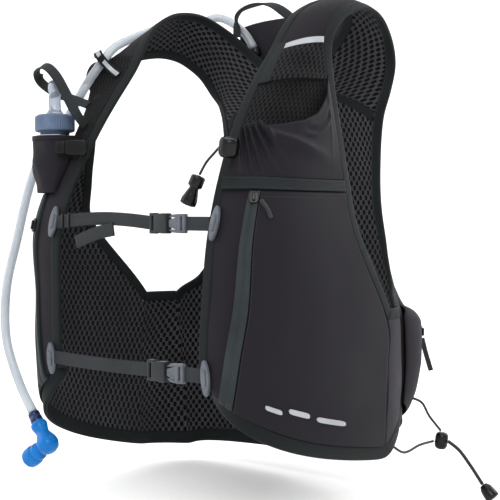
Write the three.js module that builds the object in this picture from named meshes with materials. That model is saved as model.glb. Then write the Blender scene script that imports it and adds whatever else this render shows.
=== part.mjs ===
// A running hydration vest, shown as worn and fastened. Millimetres, +Z up,
// the wearer faces -Y, the wearer's left is +X, the origin lies between the
// shoulders. Every cloth piece is laid on one curved body surface.
import * as THREE from 'three';

// Overall sizes of the worn vest.
const halfWidth = 170;
const chestDepth = 180;
const bodyHeight = 475;

// Cloth, binding and webbing sizes.
const panelThickness = 2.8;
const clothThickness = 1.4;
const bindingWidth = 8;
const leftArmGap = 1.4;
const rightArmGap = 2.45;
const bindingThickness = 3.8;
const hemWidth = 12;
const webWidth = 12.5;
const webThickness = 1.6;
const pieceGap = 0.4;
const coverGap = 1.4;
const layerLift = panelThickness / 2 + coverGap;
const coverTop = layerLift + clothThickness;

// The wearer's right half hangs a little differently from the left half.
const rightNeckLift = 5;
const rightShoulderDrop = 20;
const rightArmholeForward = 40;
const rightFrontSag = 30;
const rightBackSag = 70;

// One row per station from the front hem over the shoulder to the back hem.
// Shares of half width, chest depth and body height for the inner edge and the
// outer edge, then how full the curve between them is and how far it rises.
const columns = {
  innerAcross: 0, innerDeep: 1, innerHigh: 2,
  outerAcross: 3, outerDeep: 4, outerHigh: 5,
  fullness: 6, rise: 7,
};
const stations = [
  [0.567, -0.958, -0.795, 0.971, 0.011, -0.939, 1.05, -0.020],
  [0.547, -0.983, -0.748, 0.976, 0.017, -0.874, 1.05, -0.010],
  [0.547, -0.989, -0.684, 0.982, 0.028, -0.758, 1.08, 0],
  [0.559, -0.983, -0.600, 0.971, 0.033, -0.640, 1.08, 0],
  [0.576, -0.967, -0.497, 0.953, -0.211, -0.480, 1.10, 0],
  [0.565, -0.889, -0.400, 0.912, -0.250, -0.375, 1.05, 0],
  [0.541, -0.750, -0.291, 0.871, -0.256, -0.288, 0.90, 0],
  [0.529, -0.594, -0.200, 0.829, -0.267, -0.185, 0.70, 0.006],
  [0.529, -0.433, -0.124, 0.812, -0.256, -0.105, 0.50, 0.008],
  [0.541, -0.289, -0.051, 0.818, -0.144, -0.053, 0.35, 0.013],
  [0.553, -0.133, -0.015, 0.824, 0.011, -0.027, 0.20, 0.015],
  [0.559, 0.022, 0.000, 0.818, 0.144, -0.025, 0.10, 0.015],
  [0.541, 0.178, 0.000, 0.800, 0.256, -0.038, 0.10, 0.015],
  [0.471, 0.311, -0.025, 0.765, 0.378, -0.069, 0.20, 0.010],
  [0.341, 0.367, -0.065, 0.729, 0.478, -0.118, 0.40, 0.004],
  [0.176, 0.400, -0.107, 0.688, 0.494, -0.173, 0.50, 0],
  [0, 0.422, -0.128, 0.641, 0.478, -0.240, 0.60, 0],
  [0, 0.489, -0.253, 0.618, 0.478, -0.333, 0.60, 0],
  [0, 0.517, -0.400, 0.618, 0.472, -0.425, 0.70, 0],
  [0, 0.528, -0.547, 0.671, 0.444, -0.522, 0.80, 0],
  [0, 0.522, -0.653, 0.771, 0.367, -0.600, 0.90, 0],
  [0, 0.511, -0.747, 0.882, 0.278, -0.640, 1.00, 0],
  [0, 0.500, -0.874, 0.876, 0.311, -0.758, 1.00, 0],
  [0, 0.489, -0.998, 0.847, 0.333, -0.867, 1.00, 0],
];
// Station numbers where the pattern changes.
const hemStation = 0;
const sideTopStation = 3;
const shoulderSeam = 11;
const neckDip = 16;
const armholeFoot = 21;
const backHem = stations.length - 1;
const stationStep = bodyHeight / (backHem - 6);
const seamShare = pieceGap / 2 / stationStep;
const curveHandle = 0.7;
const outerFlare = 3;
const up = new THREE.Vector3(0, 0, 1);

function lerp(a, b, share) {
  return a + (b - a) * share;
}

function smooth(from, to, value) {
  const share = Math.min(1, Math.max(0, (value - from) / (to - from)));
  return share * share * (3 - 2 * share);
}

function vec(x, y, z) {
  return new THREE.Vector3(x, y, z);
}

// A table of [place, value] rows read at any place.
function readTable(table, place) {
  let row = 0;
  while (row < table.length - 2 && place > table[row + 1][0]) row += 1;
  const [fromPlace, fromValue] = table[row];
  const [toPlace, toValue] = table[row + 1];
  const share = Math.min(1, Math.max(0, (place - fromPlace) / (toPlace - fromPlace)));
  return lerp(fromValue, toValue, share);
}

function throughFour(before, from, to, after, share) {
  const two = share * share;
  const three = two * share;
  return 0.5 * (2 * from + (to - before) * share
    + (2 * before - 5 * from + 4 * to - after) * two
    + (3 * from - before - 3 * to + after) * three);
}

// Stations in millimetres, still on the outline of the finished vest.
const outlineRows = stations.map((row) => row.map((value, column) => {
  if (column === columns.fullness) return value;
  const scale = [halfWidth, chestDepth, bodyHeight][column % 3];
  return column === columns.rise ? value * bodyHeight : value * scale;
}));

function rowValue(rows, station, column) {
  const inner = column <= columns.innerHigh;
  const first = inner && station > neckDip ? neckDip : 0;
  const last = inner && station <= neckDip ? neckDip : rows.length - 1;
  const held = Math.min(Math.max(station, first), last);
  const low = Math.min(Math.floor(held), last - 1);
  const share = held - low;
  const before = rows[Math.max(low - 1, first)][column];
  let after = rows[Math.min(low + 2, last)][column];
  if (inner && last === neckDip && low === neckDip - 1) {
    const mirrored = column === columns.innerAcross ? -1 : 1;
    after = mirrored * rows[low][column];
  }
  return throughFour(before, rows[low][column], rows[low + 1][column], after, share);
}

function surfacePoint(rows, station, across, side) {
  const value = (column) => rowValue(rows, station, column);
  const inner = vec(Math.max(0, value(0)), value(1), value(2));
  const outer = vec(value(3), value(4), value(5));
  if (side < 0) {
    const top = smooth(7, 9.5, station) * (1 - smooth(13.5, 16, station));
    const front = smooth(2.8, 4.4, station) * (1 - smooth(7, 11, station));
    inner.z += rightNeckLift * top;
    outer.z -= rightShoulderDrop * top;
    outer.y -= rightArmholeForward * front;
    outer.z -= rightFrontSag * smooth(sideTopStation, hemStation, station);
    outer.z -= rightBackSag * smooth(armholeFoot, backHem, station);
  }
  const middle = inner.clone().add(outer).multiplyScalar(0.5);
  const corner = vec(outer.x + outerFlare, inner.y, middle.z);
  const pull = middle.clone().lerp(corner, value(columns.fullness));
  pull.z = middle.z + value(columns.rise);
  const near = inner.clone().lerp(pull, curveHandle);
  const far = outer.clone().lerp(pull, curveHandle);
  const rest = 1 - across;
  const point = inner.clone().multiplyScalar(rest ** 3);
  point.addScaledVector(near, 3 * rest * rest * across);
  point.addScaledVector(far, 3 * rest * across * across);
  point.addScaledVector(outer, across ** 3);
  point.x *= side;
  return point;
}

function surfaceNormal(rows, station, across, side) {
  const step = 0.02;
  const last = station <= neckDip && across === 0 ? neckDip : backHem;
  const low = Math.max(0, station - step);
  const high = Math.min(last, station + step);
  const left = Math.max(0, across - step);
  const right = Math.min(1, across + step);
  const along = surfacePoint(rows, high, across, side);
  along.sub(surfacePoint(rows, low, across, side));
  const over = surfacePoint(rows, station, right, side);
  over.sub(surfacePoint(rows, station, left, side));
  return over.cross(along).multiplyScalar(side).normalize();
}

// The cut edge of the cloth: the outline moved in by the width of its binding.
function cutRow(row, index) {
  const cut = [...row];
  const inset = bindingWidth + pieceGap;
  const step = 0.05;
  const edges = [[0, 0, -1], [columns.outerAcross, 1, 1]];
  for (const [column, across, sign] of edges) {
    const outer = across === 1;
    const spine = !outer && index > neckDip;
    const seam = outer && (index <= sideTopStation || index >= armholeFoot);
    if (spine || seam) continue;
    if (!outer && index === neckDip) {
      cut[columns.innerHigh] -= inset;
      continue;
    }
    const limit = outer ? backHem : neckDip;
    const along = surfacePoint(outlineRows, Math.min(limit, index + step), across, 1);
    along.sub(surfacePoint(outlineRows, Math.max(0, index - step), across, 1));
    const normal = surfaceNormal(outlineRows, index, across || 0.02, 1);
    const outward = along.cross(normal).normalize().multiplyScalar(sign);
    cut[column] -= outward.x * inset;
    cut[column + 1] -= outward.y * inset;
    cut[column + 2] -= outward.z * inset;
  }
  if (index === sideTopStation || index === armholeFoot) cut[columns.outerHigh] -= inset;
  if (index === hemStation || index === backHem) {
    cut[columns.innerHigh] += hemWidth + pieceGap;
    cut[columns.outerHigh] += hemWidth + pieceGap;
  }
  return cut;
}
const cutRows = outlineRows.map(cutRow);

function bodyPoint(station, across, side) {
  return surfacePoint(cutRows, station, across, side);
}

function bodyNormal(station, across, side) {
  return surfaceNormal(cutRows, station, across, side);
}

function onBody(side, station, across, lift) {
  const point = bodyPoint(station, across, side);
  return point.addScaledVector(bodyNormal(station, across, side), lift);
}

// The panel between the front and back side seams, from hem to armhole.
function sidePoint(high, round, side) {
  const front = bodyPoint(sideTopStation * high, 1, side);
  const back = bodyPoint(backHem - (backHem - armholeFoot) * high, 1, side);
  const middle = front.clone().add(back).multiplyScalar(0.5);
  middle.x = side * (Math.max(Math.abs(front.x), Math.abs(back.x)) + outerFlare);
  const rest = 1 - round;
  const near = front.clone().lerp(middle, 0.6);
  const far = back.clone().lerp(middle, 0.6);
  const point = front.multiplyScalar(rest ** 3);
  point.addScaledVector(near, 3 * rest * rest * round);
  point.addScaledVector(far, 3 * rest * round * round);
  return point.addScaledVector(back, round ** 3);
}

// Near a seam the side panel takes the normal of the panel beside it.
const seamBlend = 0.35;
function sideNormal(high, round, side) {
  const step = 0.02;
  const along = sidePoint(Math.min(1, high + step), round, side);
  along.sub(sidePoint(Math.max(0, high - step), round, side));
  const over = sidePoint(high, Math.min(1, round + step), side);
  over.sub(sidePoint(high, Math.max(0, round - step), side));
  const normal = over.cross(along).multiplyScalar(side).normalize();
  const front = bodyNormal(sideTopStation * high, 1, side);
  const back = bodyNormal(backHem - (backHem - armholeFoot) * high, 1, side);
  normal.lerp(front, 1 - smooth(0, seamBlend, round));
  normal.lerp(back, smooth(1 - seamBlend, 1, round));
  return normal.normalize();
}

// Builds one closed body from a list of corner positions and triangles.
function closedGeometry(positions, triangles) {
  let volume = 0;
  for (const [a, b, c] of triangles) {
    volume += positions[a].dot(positions[b].clone().cross(positions[c]));
  }
  const flat = positions.flatMap((p) => [p.x, p.y, p.z]);
  const index = triangles.flatMap(([a, b, c]) => (volume < 0 ? [a, c, b] : [a, b, c]));
  const geometry = new THREE.BufferGeometry();
  geometry.setAttribute('position', new THREE.Float32BufferAttribute(flat, 3));
  geometry.setIndex(index);
  return geometry;
}

// Collects patches of a surface and thickens them to one closed body.
function newSkin() {
  const corners = [];
  const quads = [];
  const known = new Map();
  function corner(place) {
    const key = place.point.toArray().map((value) => Math.round(value * 50)).join();
    if (!known.has(key)) {
      known.set(key, corners.length);
      corners.push(place);
    }
    return known.get(key);
  }
  function patch(rows, sides, at) {
    const grid = [];
    for (let row = 0; row <= rows; row += 1) {
      grid.push([]);
      for (let column = 0; column <= sides; column += 1) {
        grid[row].push(corner(at(row / rows, column / sides)));
      }
    }
    for (let row = 0; row < rows; row += 1) {
      for (let column = 0; column < sides; column += 1) {
        const quad = [grid[row][column], grid[row][column + 1],
          grid[row + 1][column + 1], grid[row + 1][column]];
        const [a, b, c, d] = quad.map((n) => corners[n]);
        const face = c.point.clone().sub(a.point).cross(d.point.clone().sub(b.point));
        quads.push(face.dot(a.normal) < 0 ? quad.reverse() : quad);
      }
    }
  }
  function solid() {
    const positions = [];
    for (const place of corners) {
      positions.push(place.point.clone().addScaledVector(place.normal, place.high));
      positions.push(place.point.clone().addScaledVector(place.normal, place.low));
    }
    const triangles = [];
    const edges = new Set();
    for (const [a, b, c, d] of quads) {
      triangles.push([2 * a, 2 * b, 2 * c], [2 * a, 2 * c, 2 * d]);
      triangles.push([2 * a + 1, 2 * c + 1, 2 * b + 1], [2 * a + 1, 2 * d + 1, 2 * c + 1]);
      for (const [p, q] of [[a, b], [b, c], [c, d], [d, a]]) edges.add(`${p},${q}`);
    }
    for (const edge of edges) {
      const [p, q] = edge.split(',').map(Number);
      if (edges.has(`${q},${p}`)) continue;
      triangles.push([2 * q, 2 * p, 2 * p + 1], [2 * q, 2 * p + 1, 2 * q + 1]);
    }
    return closedGeometry(positions, triangles);
  }
  return { patch, solid };
}

// A layer of cloth on the body: the window gives station and across for
// shares up and over, the lifts give its under and upper side. A level layer
// is lifted straight outwards and keeps the height of the body under it.
function clothLayer(side, rows, sides, window, low, high, level = false) {
  const skin = newSkin();
  skin.patch(rows, sides, (rowShare, overShare) => {
    const [station, across] = window(rowShare, overShare);
    const normal = bodyNormal(station, across, side);
    if (level) normal.setZ(0).normalize();
    return {
      point: bodyPoint(station, across, side),
      normal,
      low: typeof low === 'function' ? low(rowShare, overShare) : low,
      high: typeof high === 'function' ? high(rowShare, overShare) : high,
    };
  });
  return skin.solid();
}

// A band with bevelled long edges through places that carry a centre, a
// direction across the band and a direction out of the cloth.
const bandSection = [[-0.5, -0.5], [0.5, -0.5], [0.5, 0.2], [0.36, 0.5], [-0.36, 0.5],
  [-0.5, 0.2]];
const plainSection = [[-0.5, -0.5], [0.5, -0.5], [0.5, 0.5], [-0.5, 0.5]];

function band(places, width, thickness, closed, section) {
  const positions = [];
  const triangles = [];
  const around = section.length;
  for (const place of places) {
    for (const [wide, thick] of section) {
      const point = place.centre.clone().addScaledVector(place.across, wide * width);
      positions.push(point.addScaledVector(place.out, thick * thickness));
    }
  }
  const joints = closed ? places.length : places.length - 1;
  for (let n = 0; n < joints; n += 1) {
    const from = n * around;
    const to = ((n + 1) % places.length) * around;
    for (let k = 0; k < around; k += 1) {
      const next = (k + 1) % around;
      triangles.push([from + k, to + k, to + next], [from + k, to + next, from + next]);
    }
  }
  if (!closed) {
    const last = (places.length - 1) * around;
    for (let k = 1; k < around - 1; k += 1) {
      triangles.push([0, k, k + 1], [last, last + k + 1, last + k]);
    }
  }
  return closedGeometry(positions, triangles);
}

// Places of a binding that lies beside a cut edge, on its open side.
function besideEdge(edge, turn, width, closed, gap = 2 * pieceGap) {
  const count = edge.length;
  return edge.map(({ point, normal }, n) => {
    const before = edge[closed ? (n + count - 1) % count : Math.max(0, n - 1)].point;
    const after = edge[closed ? (n + 1) % count : Math.min(count - 1, n + 1)].point;
    const along = after.clone().sub(before).normalize();
    const across = along.clone().cross(normal).normalize().multiplyScalar(turn);
    const out = across.clone().cross(along).normalize();
    const centre = point.clone().addScaledVector(across, gap + width / 2);
    return { centre, across, out };
  });
}

// A webbing band through points, lying flat against the given direction.
function webbing(points, flatSide, width, thickness, steps) {
  const curve = new THREE.CatmullRomCurve3(points, false, 'centripetal');
  const places = [];
  for (let n = 0; n <= steps; n += 1) {
    const along = curve.getTangentAt(n / steps);
    const side = typeof flatSide === 'function' ? flatSide(n / steps) : flatSide;
    const across = along.clone().cross(side).normalize();
    places.push({ centre: curve.getPointAt(n / steps), across, out: across.clone().cross(along) });
  }
  return band(places, width, thickness, false, plainSection);
}

function roundShape(radius, sides) {
  const shape = new THREE.Shape();
  for (let n = 0; n < sides; n += 1) {
    const angle = (2 * Math.PI * n) / sides;
    const point = [radius * Math.cos(angle), radius * Math.sin(angle)];
    if (n === 0) shape.moveTo(...point);
    else shape.lineTo(...point);
  }
  shape.closePath();
  return shape;
}

function cord(points, diameter, sides, steps) {
  const extrudePath = new THREE.CatmullRomCurve3(points, false, 'centripetal');
  const options = { steps, extrudePath, bevelEnabled: false };
  return new THREE.ExtrudeGeometry(roundShape(diameter / 2, sides), options);
}

// A turned body: [radius, height] pairs, standing on the origin along axis.
function turned(profile, sides, origin, axis) {
  const points = profile.map(([radius, height]) => new THREE.Vector2(radius, height));
  const geometry = new THREE.LatheGeometry(points, sides);
  const turn = new THREE.Quaternion().setFromUnitVectors(vec(0, 1, 0), axis.clone().normalize());
  geometry.applyQuaternion(turn);
  return geometry.translate(origin.x, origin.y, origin.z);
}

// A flat plate of the given outline, centred on origin: its first direction
// runs along xWay, its thickness along outWay.
function plate(outline, thickness, origin, xWay, outWay) {
  const shape = new THREE.Shape(outline.map(([x, y]) => new THREE.Vector2(x, y)));
  const geometry = new THREE.ExtrudeGeometry(shape, { depth: thickness, bevelEnabled: false });
  geometry.translate(0, 0, -thickness / 2);
  const out = outWay.clone().normalize();
  const x = xWay.clone().addScaledVector(out, -xWay.dot(out)).normalize();
  const y = out.clone().cross(x);
  geometry.applyMatrix4(new THREE.Matrix4().makeBasis(x, y, out));
  return geometry.translate(origin.x, origin.y, origin.z);
}

// Corner cuts turn a rectangle to an eight-sided outline.
function cutRectangle(length, width, cut) {
  const x = length / 2;
  const y = width / 2;
  return [[-x + cut, -y], [x - cut, -y], [x, -y + cut], [x, y - cut],
    [x - cut, y], [-x + cut, y], [-x, y - cut], [-x, -y + cut]];
}

const vest = new THREE.Group();

function add(name, geometry, color, roughness, metalness = 0) {
  const material = new THREE.MeshStandardMaterial({ color, roughness, metalness });
  const mesh = new THREE.Mesh(geometry, material);
  mesh.name = name;
  vest.add(mesh);
}

const stretchColor = 0x2e2b30;
const sideColor = 0x424044;
const meshColor = 0x343236;
const bindingColor = 0x2a3032;
const zipColor = 0x464e50;
const collarColor = 0x1c1d1f;
const plasticColor = 0x606266;
const cordColor = 0x26282a;
const reflectColor = 0xc8cbce;
const tubeColor = 0xe6e8ea;
const valveColor = 0x0073c8;
const sleeveColor = 0x1e4678;
const capColor = 0x5f6e82;

// Body panels.
const half = panelThickness / 2;
const seamRows = 6;
const upperRows = 14;
const yokeRows = 9;
const bladeRows = 6;
const panelSides = 6;
const sideSides = 4;
for (const [side, name] of [[1, 'left'], [-1, 'right']]) {
  const frontPlace = (station, across) => ({
    point: bodyPoint(station, across, side),
    normal: bodyNormal(station, across, side),
    low: -half,
    high: half,
  });
  const topStation = shoulderSeam - seamShare;
  const frontSkin = newSkin();
  frontSkin.patch(seamRows, panelSides, (high, over) => frontPlace(sideTopStation * high, over));
  frontSkin.patch(upperRows, panelSides, (high, over) => (
    frontPlace(lerp(sideTopStation, topStation, high), over)));
  add(`${name}_front_panel`, frontSkin.solid(), stretchColor, 0.85);
  const sideSkin = newSkin();
  const seamRound = 0.012;
  sideSkin.patch(seamRows, sideSides, (high, share) => {
    const round = lerp(seamRound, 1 - seamRound, share);
    return {
      point: sidePoint(high, round, side),
      normal: sideNormal(high, round, side),
      low: -half,
      high: half,
    };
  });
  add(`${name}_side_panel`, sideSkin.solid(), sideColor, 0.85);
}

const backSkin = newSkin();
for (const side of [1, -1]) {
  const backPlace = (station, across) => {
    const point = bodyPoint(station, across, side);
    const normal = bodyNormal(station, across, side);
    if (Math.abs(point.x) < 0.01) {
      point.x = 0;
      normal.x = 0;
      normal.normalize();
    }
    return { point, normal, low: -half, high: half };
  };
  const yokeTop = shoulderSeam + seamShare;
  const levels = [[yokeTop, neckDip, yokeRows], [neckDip, armholeFoot, bladeRows],
    [armholeFoot, backHem, seamRows]];
  for (const [from, to, rows] of levels) {
    backSkin.patch(rows, panelSides, (down, over) => backPlace(lerp(from, to, down), over));
  }
}
add('back_panel', backSkin.solid(), meshColor, 0.95);

// Bindings beside the cut edges.
function edgePlaces(from, to, steps, at) {
  const places = [];
  for (let n = 0; n <= steps; n += 1) places.push(at(lerp(from, to, n / steps)));
  return places;
}
const edgeAt = (side, across) => (station) => ({
  point: bodyPoint(station, across, side),
  normal: bodyNormal(station, across, side),
});
const neckEdge = [
  ...edgePlaces(hemStation, sideTopStation, seamRows, edgeAt(1, 0)),
  ...edgePlaces(sideTopStation, shoulderSeam, upperRows, edgeAt(1, 0)).slice(1),
  ...edgePlaces(shoulderSeam, neckDip, yokeRows, edgeAt(1, 0)).slice(1),
  ...edgePlaces(neckDip, shoulderSeam, yokeRows, edgeAt(-1, 0)).slice(1),
  ...edgePlaces(shoulderSeam, sideTopStation, upperRows, edgeAt(-1, 0)).slice(1),
  ...edgePlaces(sideTopStation, hemStation, seamRows, edgeAt(-1, 0)).slice(1),
];
const neckPlaces = besideEdge(neckEdge, -1, bindingWidth, false);
add('neck_binding', band(neckPlaces, bindingWidth, bindingThickness, false, bandSection),
  bindingColor, 0.8);

for (const [side, name] of [[1, 'left'], [-1, 'right']]) {
  const sideTop = (round) => ({ point: sidePoint(1, round, side), normal: sideNormal(1, round, side) });
  const armEdge = [
    ...edgePlaces(shoulderSeam, sideTopStation, upperRows, edgeAt(side, 1)),
    ...edgePlaces(0, 1, sideSides, sideTop).slice(1, -1),
    ...edgePlaces(armholeFoot, neckDip, bladeRows, edgeAt(side, 1)),
    ...edgePlaces(neckDip, shoulderSeam, yokeRows, edgeAt(side, 1)).slice(1, -1),
  ];
  const places = besideEdge(armEdge, -side, bindingWidth, true,
    side > 0 ? leftArmGap : rightArmGap);
  const geometry = band(places, bindingWidth, bindingThickness, true, bandSection);
  add(`${name}_armhole_binding`, geometry, bindingColor, 0.8);
}

const hemStart = 0.13;
function hemEdge(side) {
  const front = (across) => edgeAt(side, across)(hemStation);
  const sideFoot = (round) => ({ point: sidePoint(0, round, side), normal: sideNormal(0, round, side) });
  const back = (across) => edgeAt(side, across)(backHem);
  return [
    front(hemStart),
    ...edgePlaces(0, 1, panelSides, front).slice(1),
    ...edgePlaces(0, 1, sideSides, sideFoot).slice(1, -1),
    ...edgePlaces(1, 0, panelSides, back),
  ];
}
const hemLine = [...hemEdge(1), ...hemEdge(-1).reverse().slice(1)];
add('hem_binding', band(besideEdge(hemLine, 1, hemWidth, false), hemWidth, bindingThickness,
  false, bandSection), bindingColor, 0.8);

// Lower front pockets with their zips, mirrored on both fronts.
const pocketTop = 4.95;
const pocketTopSlope = -0.24;
const pocketFoot = 0.06;
const zipStart = 0.12;
const zipLean = 0.04;
const zipHalfShare = 0.045;
const seamInset = 0.985;
const bandRise = 0.22;
const pocketEdge = (across) => pocketTop + pocketTopSlope * across;
const zipAcross = (station) => zipStart + zipLean * station;
for (const [side, name] of [[1, 'left'], [-1, 'right']]) {
  const pocketWindow = (high, over) => {
    const guess = lerp(pocketFoot, pocketTop, high);
    const across = lerp(zipAcross(guess) + zipHalfShare + 0.004, seamInset, over);
    return [lerp(pocketFoot, pocketEdge(across) - seamShare, high), across];
  };
  add(`${name}_lower_pocket`, clothLayer(side, 10, 6, pocketWindow, layerLift, coverTop),
    stretchColor, 0.85);
  const zipWindow = (high, over) => {
    const guess = lerp(pocketFoot, pocketTop, high);
    const across = zipAcross(guess) + lerp(-zipHalfShare, zipHalfShare, over);
    return [lerp(pocketFoot, pocketEdge(across) - seamShare, high), across];
  };
  add(`${name}_zip_tape`, clothLayer(side, 12, 2, zipWindow, layerLift, coverTop), zipColor, 0.6);
}
const bandWindow = (high, over) => {
  const across = lerp(0.01, seamInset, over);
  return [pocketEdge(across) + seamShare + bandRise * high, across];
};
add('pocket_band', clothLayer(1, 1, 6, bandWindow, layerLift, coverTop + pieceGap),
  bindingColor, 0.8);

// The stretch pocket of the left front: mouth height across the panel.
const mouthStations = [[0, 5.98], [0.15, 6.02], [0.35, 6.02], [0.6, 6.1],
  [0.75, 6.28], [0.88, 6.6], [1, 7.1]];
const pocketPuff = 11;
const gatherDepth = 1.3;
const gatherCount = 7;
const stretchFoot = pocketTop + bandRise + 2 * seamShare;
function puff(high, over) {
  const body = Math.sin(Math.PI * over) ** 0.7 * Math.sin(0.5 * Math.PI * high) ** 1.2;
  const fold = Math.sin(over * gatherCount * 2 * Math.PI) * gatherDepth;
  return pocketPuff * body + fold * body * high * smooth(0.8, 0.2, over);
}
const stretchWindow = (high, over) => {
  const across = lerp(0.02, seamInset, over);
  const foot = stretchFoot + pocketTopSlope * across;
  return [lerp(foot, readTable(mouthStations, over), high), across];
};
add('stretch_pocket', clothLayer(1, 8, 16, stretchWindow,
  (high, over) => layerLift + puff(high, over),
  (high, over) => coverTop + puff(high, over)), stretchColor, 0.85);

// Shoulder trim above the stretch pocket.
const trimLift = layerLift - pieceGap;
const webWindow = (high, over) => [lerp(7.0, 8.12, high), lerp(0.02, 0.174, over)];
add('shoulder_webbing', clothLayer(1, 4, 2, webWindow, trimLift, coverTop), bindingColor, 0.8);
const sleeveWindow = (high, over) => [lerp(7.0, 7.78, high), lerp(0.183, 0.95, over)];
add('mesh_sleeve', clothLayer(1, 3, 6, sleeveWindow, trimLift, coverTop + 1), meshColor, 0.95);
const stripWindow = (high, over) => [lerp(7.84, 8.0, high), lerp(0.19, 0.97, over)];
add('reflective_strip', clothLayer(1, 1, 6, stripWindow, trimLift, coverTop), reflectColor, 0.35);

// The flask pocket of the right front and the soft flask in it.
const flaskMiddle = 0.52;
const flaskHalf = 0.40;
const flaskTop = 6.12;
const flaskThickness = [[4.75, 2], [5.2, 17], [5.6, 29], [6.12, 40], [6.4, 43]];
const flaskStandoff = [[5.2, -1], [6.12, 8]];
const flaskFoot = 5.2;
function pocketBulge(station, across) {
  const away = Math.min(1, Math.abs(across - flaskMiddle) / flaskHalf);
  return readTable(flaskThickness, station) * (1 - away * away) ** 0.4;
}
const flaskWindow = (high, over) => {
  const across = lerp(flaskMiddle - flaskHalf, flaskMiddle + flaskHalf, over);
  const foot = pocketTop + 4 * seamShare + pocketTopSlope * across;
  return [lerp(foot, flaskTop, high), across];
};
const bulgeAt = (window, lift) => (high, over) => lift + pocketBulge(...window(high, over));
add('flask_pocket', clothLayer(-1, 8, 12, flaskWindow, bulgeAt(flaskWindow, layerLift),
  bulgeAt(flaskWindow, coverTop), true), stretchColor, 0.85);
function levelPoint(station, across, lift) {
  const normal = bodyNormal(station, across, -1).setZ(0).normalize();
  return bodyPoint(station, across, -1).addScaledVector(normal, lift);
}
const flaskShare = 0.68;
const flaskBody = (high, over) => {
  const across = flaskMiddle + flaskHalf * flaskShare * (2 * over - 1);
  return [lerp(flaskFoot, flaskTop + 0.02, high), across];
};
function flaskSide(sign) {
  return (high, over) => {
    const [station] = flaskBody(high, over);
    const thickness = readTable(flaskThickness, station);
    const standoff = readTable(flaskStandoff, station);
    const middle = layerLift + (thickness + standoff) / 2 - clothThickness;
    const swell = Math.sqrt(1 - 0.96 * (2 * over - 1) ** 2);
    return middle + sign * ((thickness - standoff) / 2 - clothThickness - pieceGap) * swell;
  };
}
add('flask_body', clothLayer(-1, 8, 10, flaskBody, flaskSide(-1), flaskSide(1), true),
  tubeColor, 0.3);

const flaskNeck = levelPoint(flaskTop, flaskMiddle - 0.06, 22);
const capRadius = 20.5;
const capHeight = 17;
const capNeck = 2.7;
const capNeckRadius = 15;
const capFoot = vec(flaskNeck.x, flaskNeck.y, flaskNeck.z + 5);
const capAxis = vec(-0.03, 0.02, 1);
add('flask_cap', turned([[0, -capNeck], [capNeckRadius, -capNeck], [capNeckRadius, 0],
  [capRadius - 1, 0], [capRadius, 1.5], [capRadius, capHeight - 3],
  [capRadius - 2.5, capHeight], [0, capHeight]], 24, capFoot, capAxis), capColor, 0.5);
const spoutFoot = capFoot.clone().addScaledVector(capAxis, capHeight + pieceGap);
add('flask_spout', turned([[0, 0], [8, 0], [8, 3], [6.5, 5], [6, 24], [7, 26], [7, 32], [4, 36],
  [0, 36]], 12, spoutFoot, capAxis), tubeColor, 0.3);

// The pull tab looped round the flask spout and the buckle under it.
const tabPoints = [onBody(-1, 6.3, 0.17, 3), vec(-114, -141, -108), vec(-120, -148, -90),
  vec(-131, -153, -70), vec(-146, -153, -60), vec(-163, -148, -62), vec(-171, -140, -72),
  vec(-162, -127, -84), vec(-146, -117, -91), onBody(-1, 6.8, 0.45, 3.6)];
add('pull_tab', webbing(tabPoints, vec(0.6, -0.5, 0.5), webWidth * 0.85, webThickness, 22),
  bindingColor, 0.8);
const pocketBuckleStandoff = vec(-0.041173, -12.746167, 6.588322);
const pocketBuckleAt = onBody(-1, 5.72, 0.015, 0).add(pocketBuckleStandoff);
add('pocket_buckle', plate(cutRectangle(30, 15, 4), 6, pocketBuckleAt, vec(0.77, 0.64, 0),
  vec(0.64, -0.77, 0)), plasticColor, 0.4);

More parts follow.
